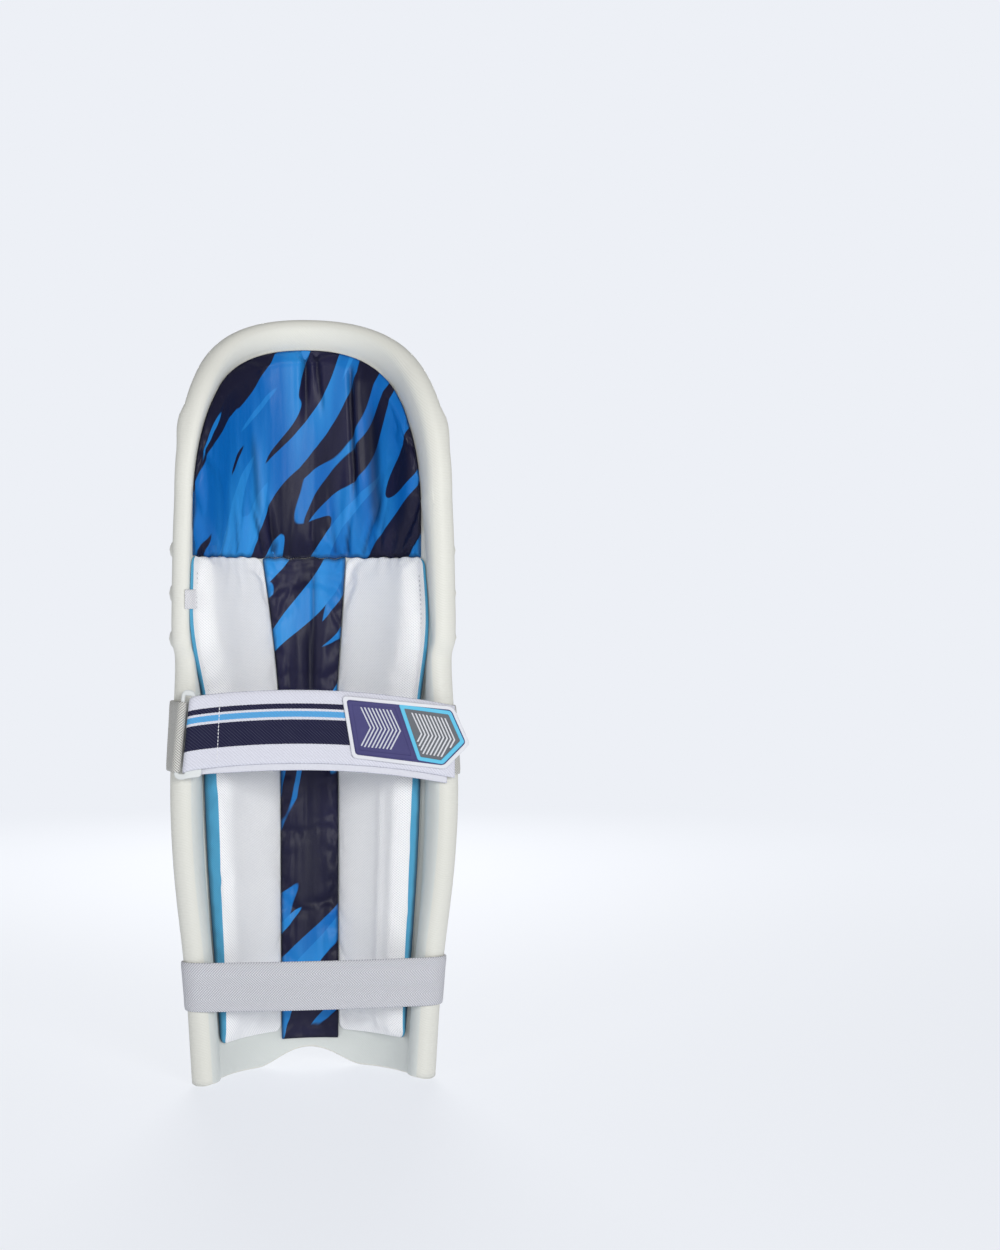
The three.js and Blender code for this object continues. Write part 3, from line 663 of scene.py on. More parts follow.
whiteRubber = makeMoulded("whiteRubber", rgb(0.745, 0.755, 0.79), rgb(0.65, 0.66, 0.71), 0.46, 0.00006)
navyRubber = makeMoulded("navyRubber", rgb(0.030, 0.027, 0.130), rgb(0.046, 0.042, 0.175), 0.5, 0.00006)
silverRubber = makeMoulded("silverRubber", rgb(0.66, 0.68, 0.74), rgb(0.56, 0.58, 0.66), 0.38, 0.00005)
duskRubber = makeMoulded("duskRubber", rgb(0.085, 0.095, 0.11), rgb(0.12, 0.13, 0.15), 0.42, 0.00006)
skyRubber = makeMoulded("skyRubber", rgb(0.08, 0.47, 0.70), rgb(0.11, 0.53, 0.76), 0.42, 0.00006)
whiteThread = makeThread("whiteThread", rgb(0.82, 0.82, 0.85), rgb(0.66, 0.66, 0.70))
greyThread = makeThread("greyThread", rgb(0.50, 0.51, 0.54), rgb(0.36, 0.37, 0.40))
tagWeave = makeHerringbone("tagWeave", rgb(0.82, 0.82, 0.84), rgb(0.62, 0.62, 0.66), 0.05)
print("materials ready")


# Shell: front, rim and inner face in one body
def easedStops(count):
    return 0.5 - 0.5 * np.cos(np.pi * np.arange(count + 1) / count)


def mixedStops(count, share):
    return easedStops(count) * share + np.linspace(0, 1, count + 1) * (1 - share)


def makeShell():
    size = {"rib": 12, "wing": 28, "shinRows": 66, "rollRows": 12, "crownRows": 62, "rim": 14, "passes": 6,
            "shinEase": 0.35, "crownEase": 1.7, "seam": -45.0, "seamWide": 9, "seamPull": 0.05,
            "seamTone": 0.15, "grooveDeep": 2.6, "grooveGap": (8, 14), "grooveFoot": (20, 50),
            "ribbedPast": 2, "ribbedAbove": 14, "insideShadeTop": (400, 500), "insideShadeLeft": 0.15}
    ribStops = easedStops(size["rib"])[:-1]
    rightCols = [(r, f) for r in range(3) for f in ribStops] + [(3, f) for f in easedStops(size["wing"])]
    cols = [(r, f, -1) for r, f in reversed(rightCols[1:])] + [(r, f, 1) for r, f in rightCols]
    shinStops = mixedStops(size["shinRows"], size["shinEase"])
    crownStops = 1 - (1 - np.linspace(0, 1, size["crownRows"] + 1)) ** size["crownEase"]
    rows = [(0, v) for v in shinStops[:-1]]
    for zone in (1, 2, 3):
        rows += [(zone, v) for v in easedStops(size["rollRows"])[:-1]]
    rows += [(4, v) for v in crownStops]
    shell, i, j, k = makeSlab("padShell", len(cols) - 1, len(rows) - 1, size["rim"])
    colRib, colF, colSide = np.array(cols, float)[i].T
    rowZone, rowV = np.array(rows, float)[j].T
    colRib, rowZone = colRib.astype(int), rowZone.astype(int)
    s = np.zeros(len(i))
    z = np.zeros(len(i))
    for _ in range(size["passes"]):  # places across and up depend on each other
        limits = [lowerEdge(s) + padSize["footRound"]] + [rollEdge(n, s) for n in range(4)]
        innerSpan = crownSpan - padSize["rimRound"]
        limits.append(crownTop(s, innerSpan, padSize["crownStart"], padSize["height"] - padSize["rimRound"]))
        limits = np.stack(limits)
        pick = np.arange(len(i))
        z = lerp(limits[rowZone, pick], limits[rowZone + 1, pick], rowV)
        height = np.minimum(z, padSize["crownStart"])
        rise = np.clip((height - limits[1]) / (limits[4] - limits[1]), 0, 1)
        grooves = [lerp(a, b, rise) for a, b in zip(ribSize["shin"], ribSize["crown"])]
        grooves.append(edgeArc(height) - padSize["rimRound"])
        grooves = np.stack(grooves)
        s = colSide * lerp(grooves[colRib, pick], grooves[colRib + 1, pick], colF)
    gap, outS, outZ = outlineFrom(s, z)
    outer = -relief(s, z)
    inner = rimDepth(s, z, gap)
    turn = np.radians(-90 + 180 * k / size["rim"])
    bottom = j == 0
    corner = bottom & ((i == 0) | (i == len(cols) - 1))
    outZ = np.where(bottom, -1.0, outZ)
    outS = np.where(bottom & ~corner, 0.0, outS)
    reachS = np.full(len(i), padSize["rimRound"])
    reachZ = np.where(bottom, padSize["footRound"], padSize["rimRound"])
    crease = gauss(np.degrees(turn), size["seam"], size["seamWide"])
    pull = np.cos(turn) * (1 - size["seamPull"] * crease)
    depth = lerp(outer, inner, (1 + np.sin(turn)) / 2)
    onRim = (turn > 0) & (k < size["rim"]) & ~bottom
    depth = np.where(onRim, rimDepth(s, z, padSize["rimRound"] * (1 - np.cos(turn))), depth)
    sAt = s + outS * reachS * pull
    zAt = z + outZ * reachZ * pull
    placePoints(shell, padPoint(sAt, zAt, depth))
    setUv(shell, sAt, zAt)
    front = k == 0
    low = fading(-outer, 0.0, size["grooveDeep"])
    ribbed = np.abs(s) < ribSize["shin"][-1] + size["ribbedPast"]
    ribbed = ribbed | (z > rollSize["middle"][0] + size["ribbedAbove"])
    # Painted shade, partly a real pressed line, in the front's rib and roll grooves; the seam line round the
    # rim is a real dark joint
    fold = low * front * ribbed * smooth(gap, *size["grooveGap"]) * smooth(z, *size["grooveFoot"])
    onSeam = size["seamTone"] * crease * (k > 0) * (k < size["rim"])
    setAttribute(shell, "shadeAndSeams", np.maximum(fold, onSeam))
    # Painted shade with a painted blue reflection on the shell's inner face, strong low down and mostly gone
    # above the knee
    inside = lerp(1, size["insideShadeLeft"], smooth(z, *size["insideShadeTop"]))
    setAttribute(shell, "inside", (k == size["rim"]) * inside)
    faceOut(shell)
    setMaterials(shell, [foamSkin])
    finishPiece(shell, ["shell"])


# Linings
liningSize = {
    "gap": 0.6, "innerInset": 7.8, "outerInset": 30.0, "start": 520.0, "top": 681.0,
    "seam": 485.0, "seamGap": 0.15, "seamFrom": 440.0, "seamDrop": 0.4,
    "seamWaves": [(0.7, 17, 0.0), (0.5, 41, 1.0)],  # height, pitch, shift
}


layDepth = padSize["wall"] + liningSize["gap"]


def seamAt(s):
    out = liningSize["seam"]
    for high, pitch, shift in liningSize["seamWaves"]:
        out = out + high * np.sin(s * tau / pitch + shift)
    return out - liningSize["seamDrop"]


# Folds: depth, place across, slant, height of that place, width, heights it starts between, ends between
def foldDepth(s, z, rows):
    out = 0 * s
    for deep, at, slant, fromZ, wide, rise, fall in rows:
        here = deep * gauss(s, at + slant * (z - fromZ), wide)
        if rise:
            here = here * smooth(z, *rise)
        if fall:
            here = here * fading(z, *fall)
        out = out + here
    return out


def onBorder(i, j, cols, rows):
    return (i == 0) | (i == cols) | (j == 0) | (j == rows)


def pressIn(piece, s, z, depth, drop):
    points = readPoints(piece) / mm - padShift
    inward = padPoint(s, z, depth + 1.0) - padPoint(s, z, depth)
    placePoints(piece, points - inward * drop[:, None])


# Swells a lining between its held edges, then presses its folds into the face
def shapeLining(piece, i, j, k, size, s, z, near, crease):
    thick = lerp(size["edge"], size["thick"], smooth(near, 0, size["edgeWide"]))
    depth = layDepth + thick * k / size["layers"]
    placePoints(piece, padPoint(s, z, depth))
    faceOut(piece)
    border = onBorder(i, j, size["cols"], size["rows"])
    swell(piece, (k < size["layers"]) | border, size["pressure"], size["cap"], size["growth"])
    pressIn(piece, s, z, depth, crease * ((k == size["layers"]) & ~border))


def finishLining(piece, k, size, near, crease, node):
    # Painted shade along the lining's edges and in its deeper folds
    folded = size["foldShade"] * smooth(crease, *size["shadeDeep"])
    shade = np.maximum(fading(near, 0, size["edgeShade"]), folded)
    setAttribute(piece, "shadeAndSeams", shade * (k > 0))
    subdivide(piece, 1)
    faceOut(piece)
    setMaterials(piece, [printSatin])
    finishPiece(piece, [node])


def makeKneePanel():
    size = {"cols": 132, "rows": 56, "layers": 2, "cap": 4.0, "pressure": 5.0, "growth": 0.05, "turn": 0.43,
            "thick": 6.0, "edge": 1.4, "edgeWide": 16, "puckerWide": 2.8, "puckerEnd": (492, 556),
            "ease": 0.4, "foldEdge": 7, "edgeShade": 5, "foldShade": 0.95, "shadeDeep": (0.4, 3.6)}
    folds = [
        (6.0, -4, 0, 0, 2.6, (598, 664), None),
        (4.6, 8, -0.16, 670, 2.3, (604, 660), None),
        (-2.4, -13, 0, 0, 4.2, (590, 650), None),
        (-1.6, 3, 0, 0, 2.6, (610, 660), None),
        (5.4, 51, -0.07, 600, 2.6, (518, 575), (646, 676)),
        (-3.4, 59, -0.07, 600, 4.2, (518, 575), (646, 676)),
        (3.6, 76, -0.07, 600, 9.0, (496, 540), (590, 650)),
        (-2.2, 47, 0.04, 540, 6.0, None, (520, 590)),
        (2.4, -66, -0.12, 560, 5.5, (500, 540), (580, 620)),
    ]
    puckers = [
        (6.4, -38, -0.22), (4.0, -50, -0.45), (6.0, 43, 0.16), (2.4, 31, -0.1), (2.4, -22, 0.1),
        (2.2, 6, 0.0), (2.6, 60, 0.5), (1.8, 84, 0.3), (2.2, -84, -0.3), (1.8, -112, 0.0),
    ]
    for deep, at, slant in puckers:
        folds.append((deep, at, slant, liningSize["seam"], size["puckerWide"], None, size["puckerEnd"]))
    panel, i, j, k = makeSlab("kneePanel", size["cols"], size["rows"], size["layers"])
    f = np.sin(np.linspace(-1, 1, size["cols"] + 1) * np.pi * size["turn"]) / math.sin(np.pi * size["turn"])
    v = mixedStops(size["rows"], size["ease"])
    span = crownSpan - np.where(f[i] < 0, liningSize["innerInset"], liningSize["outerInset"])
    s = f[i] * span
    low = seamAt(s) + liningSize["seamGap"]
    top = crownTop(s, span, liningSize["start"], liningSize["top"])
    z = lerp(low, top, v[j])
    near = np.minimum(np.minimum(span - np.abs(s), z - low), top - z)
    crease = foldDepth(s, z, folds) * smooth(near, 0, size["foldEdge"])
    shapeLining(panel, i, j, k, size, s, z, near, crease)
    setUv(panel, s, z)
    finishLining(panel, k, size, near, crease, "knee_lining")


def makeShinStrip():
    size = {"cols": 40, "rows": 120, "layers": 2, "bottom": 26.0, "thick": 4.2, "edge": 2.0,
            "edgeWide": 12, "cap": 3.0, "pressure": 5.0, "growth": 0.05, "printShift": 700,
            "foldStart": 40, "foldStop": 30, "edgeShade": 4, "foldShade": 0.7, "shadeDeep": (0.3, 2.4)}
    folds = [  # depth, place across, width, lower end, upper end
        (2.6, 0.02, 0.09, 330, 425), (1.9, 0.14, 0.07, 330, 492), (-1.7, -0.3, 0.17, 345, 430),
        (-1.7, 0.45, 0.17, 345, 440), (1.4, -0.62, 0.12, 330, 400), (0.9, -0.1, 0.1, 210, 285),
        (0.7, 0.5, 0.1, 60, 190), (0.8, -0.55, 0.1, 90, 260),
    ]
    strip, i, j, k = makeSlab("shinStrip", size["cols"], size["rows"], size["layers"])
    f = np.linspace(-1, 1, size["cols"] + 1)[i]
    high = liningSize["seam"] - liningSize["seamGap"]
    z = lerp(size["bottom"], high, np.linspace(0, 1, size["rows"] + 1)[j])
    half = bolsterEdge(f, z, 0) - liningSize["gap"]
    s = f * half
    z = z + (seamAt(s) - liningSize["seam"]) * smooth(z, liningSize["seamFrom"], high)
    near = np.minimum(half - np.abs(s), np.minimum(z - size["bottom"], seamAt(s) - z))
    crease = foldDepth(f, z, [
        (deep, at, 0, 0, wide, (start, start + size["foldStart"]), (stop - size["foldStop"], stop))
        for deep, at, wide, start, stop in folds
    ])
    shapeLining(strip, i, j, k, size, s, z, near, crease)
    setUv(strip, s + size["printShift"], z)
    finishLining(strip, k, size, near, crease, "shin_lining")


# Bolsters
bolsterSize = {
    "cols": 26, "rows": 112, "layers": 5, "foot": 1.4, "corner": 8.0, "cornerStart": 0.4, "smaller": 0.86,
    "flange": 8.0, "flangeFrom": (300, 352), "shoulder": (-1.0, 17.0), "lower": 0.38, "lowerTo": (290, 330),
    "endStart": 2.2, "endRound": 13.0,
}


def bolsterLift(side, z, f, full, width):
    crest = valueAt(bolsterRows, "high", z) * bolsterSize["smaller"] * full
    lower = bolsterSize["lower"] * (side > 0) * fading(z, *bolsterSize["lowerTo"])
    rim = valueAt(bolsterRows, "side", z) * full * (1 - lower)
    fromOuter = (1 - f) * width
    flange = bolsterSize["flange"] * smooth(z, *bolsterSize["flangeFrom"])
    near, far = bolsterSize["shoulder"]
    dome = crest * (1 - (1 - f) ** 3)
    body = lerp(rim, dome, smooth(fromOuter, flange + near, flange + far))
    return body + bolsterSize["foot"] * (1 - f) ** 2


def roundEnd(away, radius):
    return np.sqrt(1 - (1 - np.clip(away / radius, 0, 1)) ** 2)


def makeBolster(name, side, node):
    size = {"cap": 4.5, "pressure": 4.0, "growth": 0.015, "foot": 2.5, "puff": 0.8, "gussetTop": (340, 372),
            "flangeLow": 330, "seam": 0.6, "seamWide": 1.6, "rowEase": 0.45, "colEase": 0.5,
            "waveEnds": (4, 30), "gussetUv": 3, "shadeHigh": (0.5, 4.5),
            "ridge": 1.5, "ridgeAt": 0.64, "ridgeWide": 6, "ridgeTop": (250, 300), "shadeTop": (360, 400)}
    waves = [(0.35, 47, 2.0, 0.12, 0.16), (0.3, 71, 0.0, 0.8, 0.2)]  # height, pitch, shift, place, width
    cols, rows, layers = bolsterSize["cols"], bolsterSize["rows"], bolsterSize["layers"]
    pad, i, j, k = makeSlab(name, cols, rows, layers)
    low, high = bolsterRows["z"][0], liningSize["seam"] - liningSize["seamGap"]
    v = mixedStops(rows, size["rowEase"])
    z = lerp(low, high, v[j])
    away = np.minimum(z - low, high - z)
    full = roundEnd(away + bolsterSize["endStart"], bolsterSize["endRound"])
    corner = bolsterSize["corner"]
    tuck = corner * (1 - roundEnd(away + bolsterSize["cornerStart"], corner))
    inner, outer = bolsterEdges(side, z)
    inner = inner + liningSize["gap"] + tuck
    outer = outer - tuck
    f = mixedStops(cols, size["colEase"])[i]
    width = outer - inner
    s = lerp(inner, outer, f)
    lift = bolsterLift(side, z, f, full, width)
    z = z + (seamAt(side * s) - liningSize["seam"]) * smooth(z, liningSize["seamFrom"], high)
    rise = k / layers
    onSide = (i == cols) * fading(z, *size["gussetTop"])
    tuckIn = onSide * (size["foot"] * (1 - rise) ** 2 - size["puff"] * np.sin(np.pi * rise))
    placePoints(pad, padPoint(side * (s - tuckIn), z, layDepth + lift * rise))
    faceOut(pad)
    border = onBorder(i, j, cols, rows)
    flange = (f * width > width - bolsterSize["flange"]) & (z > size["flangeLow"])
    held = (k == 0) | (border & (i != cols)) | flange
    swell(pad, held, size["pressure"], size["cap"], size["growth"])
    seamLine = size["seam"] * gauss((1 - f) * width, bolsterSize["flange"], size["seamWide"])
    wave = sum(high * np.sin(z * tau / pitch + shift * side) * gauss(f, at, wide)
               for high, pitch, shift, at, wide in waves)
    ridge = size["ridge"] * gauss(f * width, size["ridgeAt"] * width, size["ridgeWide"]) * (side > 0)
    drop = seamLine * smooth(z, *bolsterSize["flangeFrom"]) + wave * smooth(away, *size["waveEnds"])
    drop = drop - ridge * fading(z, *size["ridgeTop"])
    pressIn(pad, side * s, z, layDepth, drop * ((k == layers) & ~border))
    spread = s + np.where((i == cols) & (k < layers), size["gussetUv"] + lift * (1 - rise), 0)
    setUv(pad, side * spread, z)
    gusset = polygonMeans(pad, (i == cols).astype(float)) > 0.99
    # Painted shade at the foot of the gusset, in the gap beside the rim, fading out higher up
    shade = fading(rise * lift, *size["shadeHigh"]) * fading(z, *size["shadeTop"])
    setAttribute(pad, "shadeAndSeams", (i == cols) * shade)
    setMaterials(pad, [airMesh, gussetKnit], gusset.astype(int))
    subdivide(pad, 1)
    faceOut(pad)
    finishPiece(pad, [node])


# Bands: lines of points at each place across the width, thickened and with soft edges
def makeBand(name, path, thick, soft=0.35, thin=0.62):
    rows, count = path.shape[0] - 1, path.shape[1] - 1
    band, i, j, k = makeSlab(name, count, rows, 2)
    ahead = path[:, np.minimum(np.arange(count + 1) + 1, count)]
    behind = path[:, np.maximum(np.arange(count + 1) - 1, 0)]
    along = ahead - behind
    along[..., 2] = 0
    along /= np.maximum(np.linalg.norm(along, axis=-1), 1e-9)[..., None]
    across = np.stack([-along[..., 1], along[..., 0], 0 * along[..., 0]], -1)
    lengths = np.linalg.norm(np.diff(path, axis=1), axis=-1)
    run = np.concatenate([np.zeros((rows + 1, 1)), np.cumsum(lengths, axis=1)], axis=1)
    sideEdge = (j == 0) | (j == rows)
    endEdge = (i == 0) | (i == count)
    offset = (k - 1) * thick / 2 * np.where(sideEdge | endEdge, thin, 1.0)
    points = path[j, i] + across[j, i] * offset[:, None]
    push = soft * thick * (k == 1)
    points[:, 2] += push * np.where(j == 0, -1, np.where(j == rows, 1, 0))
    points += along[j, i] * (push * np.where(i == 0, -1, np.where(i == count, 1, 0)))[:, None]
    placePoints(band, points)
    middle = path[rows // 2, :, 2]
    setUv(band, run[rows // 2][i], path[j, i][:, 2] - middle[i])
    faceOut(band)
    return band, i, j, k, run[rows // 2]


def runAlong(path):
    return np.concatenate([[0], np.cumsum(np.linalg.norm(np.diff(path, axis=0), axis=1))])


def pointsAt(at, run, path):
    return np.stack([np.interp(at, run, path[:, n]) for n in range(path.shape[1])], -1)


def resampled(path, count):
    run = runAlong(path)
    return pointsAt(np.linspace(0, run[-1], count + 1), run, path)


# Lines at several heights as one grid, with points at even steps
def evenGrid(paths, pitch, passes):
    count = max(int(runAlong(paths[len(paths) // 2])[-1] / pitch), 8)
    return np.stack([eased(resampled(path, count), passes) for path in paths])


def eased(path, passes):
    out = path.copy()
    for _ in range(passes):
        out[1:-1] = 0.25 * out[:-2] + 0.5 * out[1:-1] + 0.25 * out[2:]
    return out


def heightsAcross(middle, width, count):
    return np.linspace(middle - width / 2, middle + width / 2, count + 1)


def layBand(name, paths, rowsZ, pitch, passes, thick, material):
    band, i, j, _, run = makeBand(name, evenGrid(paths, pitch, passes), thick)
    setUv(band, run[i], rowsZ[j] - (rowsZ[0] + rowsZ[-1]) / 2)
    setMaterials(band, [material])
    return band, run


# Stitches: short rounded threads, all in one mesh
def makeStitches(name, places, directions, normals, length, width, material, slot):
    rings = [(-0.5, 0.35), (-0.32, 0.9), (0.0, 1.0), (0.32, 0.9), (0.5, 0.35)]  # place along, width
    sidesCount = 6
    sunk = 0.45 * width  # how far the ends go into the cloth
    points, faces = [], []
    for place, direction, normal in zip(places, directions, normals):
        along = direction / np.linalg.norm(direction)
        up = normal - along * (normal @ along)
        up /= np.linalg.norm(up)
        aside = np.cross(along, up)
        first = len(points)
        for at, wide in rings:
            dip = sunk * (2 * abs(at)) ** 2
            for n in range(sidesCount):
                turn = tau * n / sidesCount
                spot = place + along * at * length - up * dip
                points.append(spot + wide * width / 2 * (aside * math.cos(turn) + up * math.sin(turn)))
        for r in range(len(rings) - 1):
            for n in range(sidesCount):
                a = first + r * sidesCount + n
                b = first + r * sidesCount + (n + 1) % sidesCount
                faces.append((a, b, b + sidesCount, a + sidesCount))
        last = first + (len(rings) - 1) * sidesCount
        faces.append(tuple(first + n for n in reversed(range(sidesCount))))
        faces.append(tuple(last + n for n in range(sidesCount)))
    piece = addMesh(name, [tuple((p + padShift) * mm) for p in points], faces)
    faceOut(piece)
    setMaterials(piece, [material])
    finishPiece(piece)


def alongLine(path, normals, pitch):
    run = runAlong(path)
    at = np.arange(pitch / 2, run[-1], pitch)
    direction = pointsAt(at + 0.5, run, path) - pointsAt(at - 0.5, run, path)
    return pointsAt(at, run, path), direction, pointsAt(at, run, normals)


# Straps and what holds them
webSize = {
    "thick": 1.8, "gap": 1.0, "width": 62.0, "z": 322.0, "outerDrop": 6.0,
    "start": 111.0, "frontTurn": -80.0, "rearTurn": 42.0, "tail": 14,
}
strapSize = {
    "width": strapWidth, "thick": 2.2, "layerGap": 0.8, "restGap": 0.5, "z": 331.0, "highX": -25.0,
    "droop": 0.0007, "bulge": 8.0, "span": 97.0, "straightX": 20.0, "underX": 119.0, "underDrop": 6.5,
    "endX": 126.0, "settle": 40,
}
ringSize = {
    "barX": -114.2, "width": 13.2, "height": 81.0, "bar": 3.4, "endBar": 5.2, "thick": 2.8, "room": 0.5,
    "tilt": 0.35, "lean": 0.1, "drop": 1.8, "corner": 3.5,
}


def rimPlace(side, z, degrees, gap):
    turn = np.radians(degrees)
    wall = bySide(side, "innerWall", "outerWall", z)
    middle = (wall - padSize["lip"]) / 2
    half = (wall + padSize["lip"]) / 2 + gap
    s = edgeArc(z) - padSize["rimRound"] + (padSize["rimRound"] + gap) * np.cos(turn)
    return padPoint(side * s, z, middle + half * np.sin(turn))


def wingLine(side, z, start, stop, gap):
    s = np.linspace(start, stop, 24)
    return padPoint(side * s, z, -relief(side * s, z) - gap)


# Over the wing from a starting place, then round the rim to the rear
def wrapLine(side, z, start, gap):
    wing = wingLine(side, z, start, float(edgeArc(z)) - padSize["rimRound"] - 1, gap)
    rim = rimPlace(side, z, np.linspace(webSize["frontTurn"], webSize["rearTurn"], 25), gap)
    return np.concatenate([wing, rim])


strapHeights = np.linspace(275, 365, 10)
strapBack = float(np.max(-rimPlace(1, strapHeights, webSize["rearTurn"], 0.0)[:, 1]))
webCentre = webSize["gap"] + webSize["thick"] / 2


def underDepth(x):
    rest = strapBack + webSize["gap"] + webSize["thick"] + strapSize["restGap"] + strapSize["thick"] / 2
    curved = (np.minimum(x, strapSize["straightX"]) - strapSize["highX"]) / strapSize["span"]
    straight = np.maximum(x - strapSize["straightX"], 0) / strapSize["span"]
    return rest + strapSize["bulge"] * (1 - curved ** 2 - 2 * curved * straight)


def upperDepth(x):
    return underDepth(x) + strapSize["thick"] + strapSize["layerGap"]


def strapZ(x):
    return strapSize["z"] - strapSize["droop"] * (x - strapSize["highX"]) ** 2


barRound = math.hypot(ringSize["bar"], ringSize["thick"]) / 2 + ringSize["room"]
foldRound = barRound + strapSize["thick"] / 2
barDepth = float(underDepth(ringSize["barX"])) + strapSize["thick"] / 2 + barRound
barZ = float(strapZ(ringSize["barX"])) - ringSize["drop"]
barReach = ringSize["width"] - ringSize["bar"]
outerBarX = ringSize["barX"] - barReach * math.cos(ringSize["tilt"])
outerBarDepth = barDepth - barReach * math.sin(ringSize["tilt"])


def laidDepth(x, barX):
    return lerp(barDepth + foldRound, upperDepth(x), smooth(x, barX, barX + strapSize["settle"]))


def strapPath(across):
    barX = ringSize["barX"] + ringSize["lean"] * across
    underX = np.linspace(strapSize["underX"], barX + 2, 66)
    underK = np.linspace(0, 14, 66)
    fold = np.linspace(-90, 90, 17)
    foldK = np.linspace(15, 21, 17)
    upperX = np.linspace(barX + 4, strapSize["endX"], 70)
    upperK = np.full(len(upperX), 22.0)
    x = np.concatenate([underX, barX - foldRound * np.cos(np.radians(fold)), upperX])
    folded = barDepth + foldRound * np.sin(np.radians(fold))
    depth = np.concatenate([underDepth(underX), folded, laidDepth(upperX, barX)])
    k = np.concatenate([underK, foldK, upperK])
    drop = strapSize["underDrop"] * fading(k, 10, 22)
    return np.stack([x, -depth, strapZ(x) - drop + across], -1)


def makeStrap():
    size = {"across": 22, "count": 190, "cup": 0.45, "cupFrom": (-100, -60),
            "ripple": 0.3, "ripplePitch": 61, "rippleShift": 0.8}
    w = np.linspace(-0.5, 0.5, size["across"] + 1) * strapSize["width"]
    grid = np.stack([eased(resampled(eased(strapPath(across), 3), size["count"]), 2) for across in w])
    side = (2 * w / strapSize["width"])[:, None]
    x = grid[..., 0]
    grid[..., 1] += size["cup"] * side ** 2 * smooth(x, *size["cupFrom"])
    grid[..., 1] -= size["ripple"] * side * np.sin(x * tau / size["ripplePitch"] + size["rippleShift"])
    band, i, j, k, run = makeBand("strapBand", grid, strapSize["thick"])
    setUv(band, run[i], w[j] + strapSize["width"] / 2)
    inside = polygonMeans(band, k.astype(float)) > 1.99
    setMaterials(band, [stripeTwill, loopPile], inside.astype(int))
    finishPiece(band, ["calf_strap"])


def webMiddle(side):
    return webSize["z"] - (webSize["outerDrop"] if side > 0 else 0.0)


def makeAnchor(name, side, node):
    size = {"across": 16, "step": 2.2, "backGap": 0.6, "back": 16,
            "rimTurns": (-80.0, -74, -68, -62), "loopTurns": (-30, 180), "backTurns": (-82.0,)}
    rowsZ = heightsAcross(webMiddle(side), webSize["width"], size["across"])
    made = []
    for z in rowsZ:
        if side > 0:
            line = wrapLine(side, z, webSize["start"], webCentre)
            tail = line[-1] + np.linspace(1, webSize["tail"], 10)[:, None] * np.array([-1.0, 0, 0])
            line = np.concatenate([line, tail])
        else:
            edge = float(edgeArc(z)) - padSize["rimRound"] - 1
            wing = wingLine(side, z, webSize["start"], edge, webCentre)
            rim = rimPlace(-1, z, np.array(size["rimTurns"]), webCentre)
            turn = np.radians(np.linspace(*size["loopTurns"], 28))
            around = barRound + webSize["thick"] / 2
            middleX = outerBarX + ringSize["lean"] * (z - barZ)
            loopX = middleX + around * np.cos(turn)
            loopDepth = outerBarDepth + around * np.sin(turn)
            loop = np.stack([loopX, -loopDepth, np.full(len(turn), z)], -1)
            over = webCentre + webSize["thick"] + size["backGap"]
            turned = rimPlace(-1, z, np.array(size["backTurns"]), over)
            back = wingLine(-1, z, edge - 1, edge - size["back"], over)
            line = np.concatenate([wing, rim, loop, turned, back])
        made.append(line)
    band, run = layBand(name, made, rowsZ, size["step"], 2, webSize["thick"], herringWeb)
    finishPiece(band, [node])


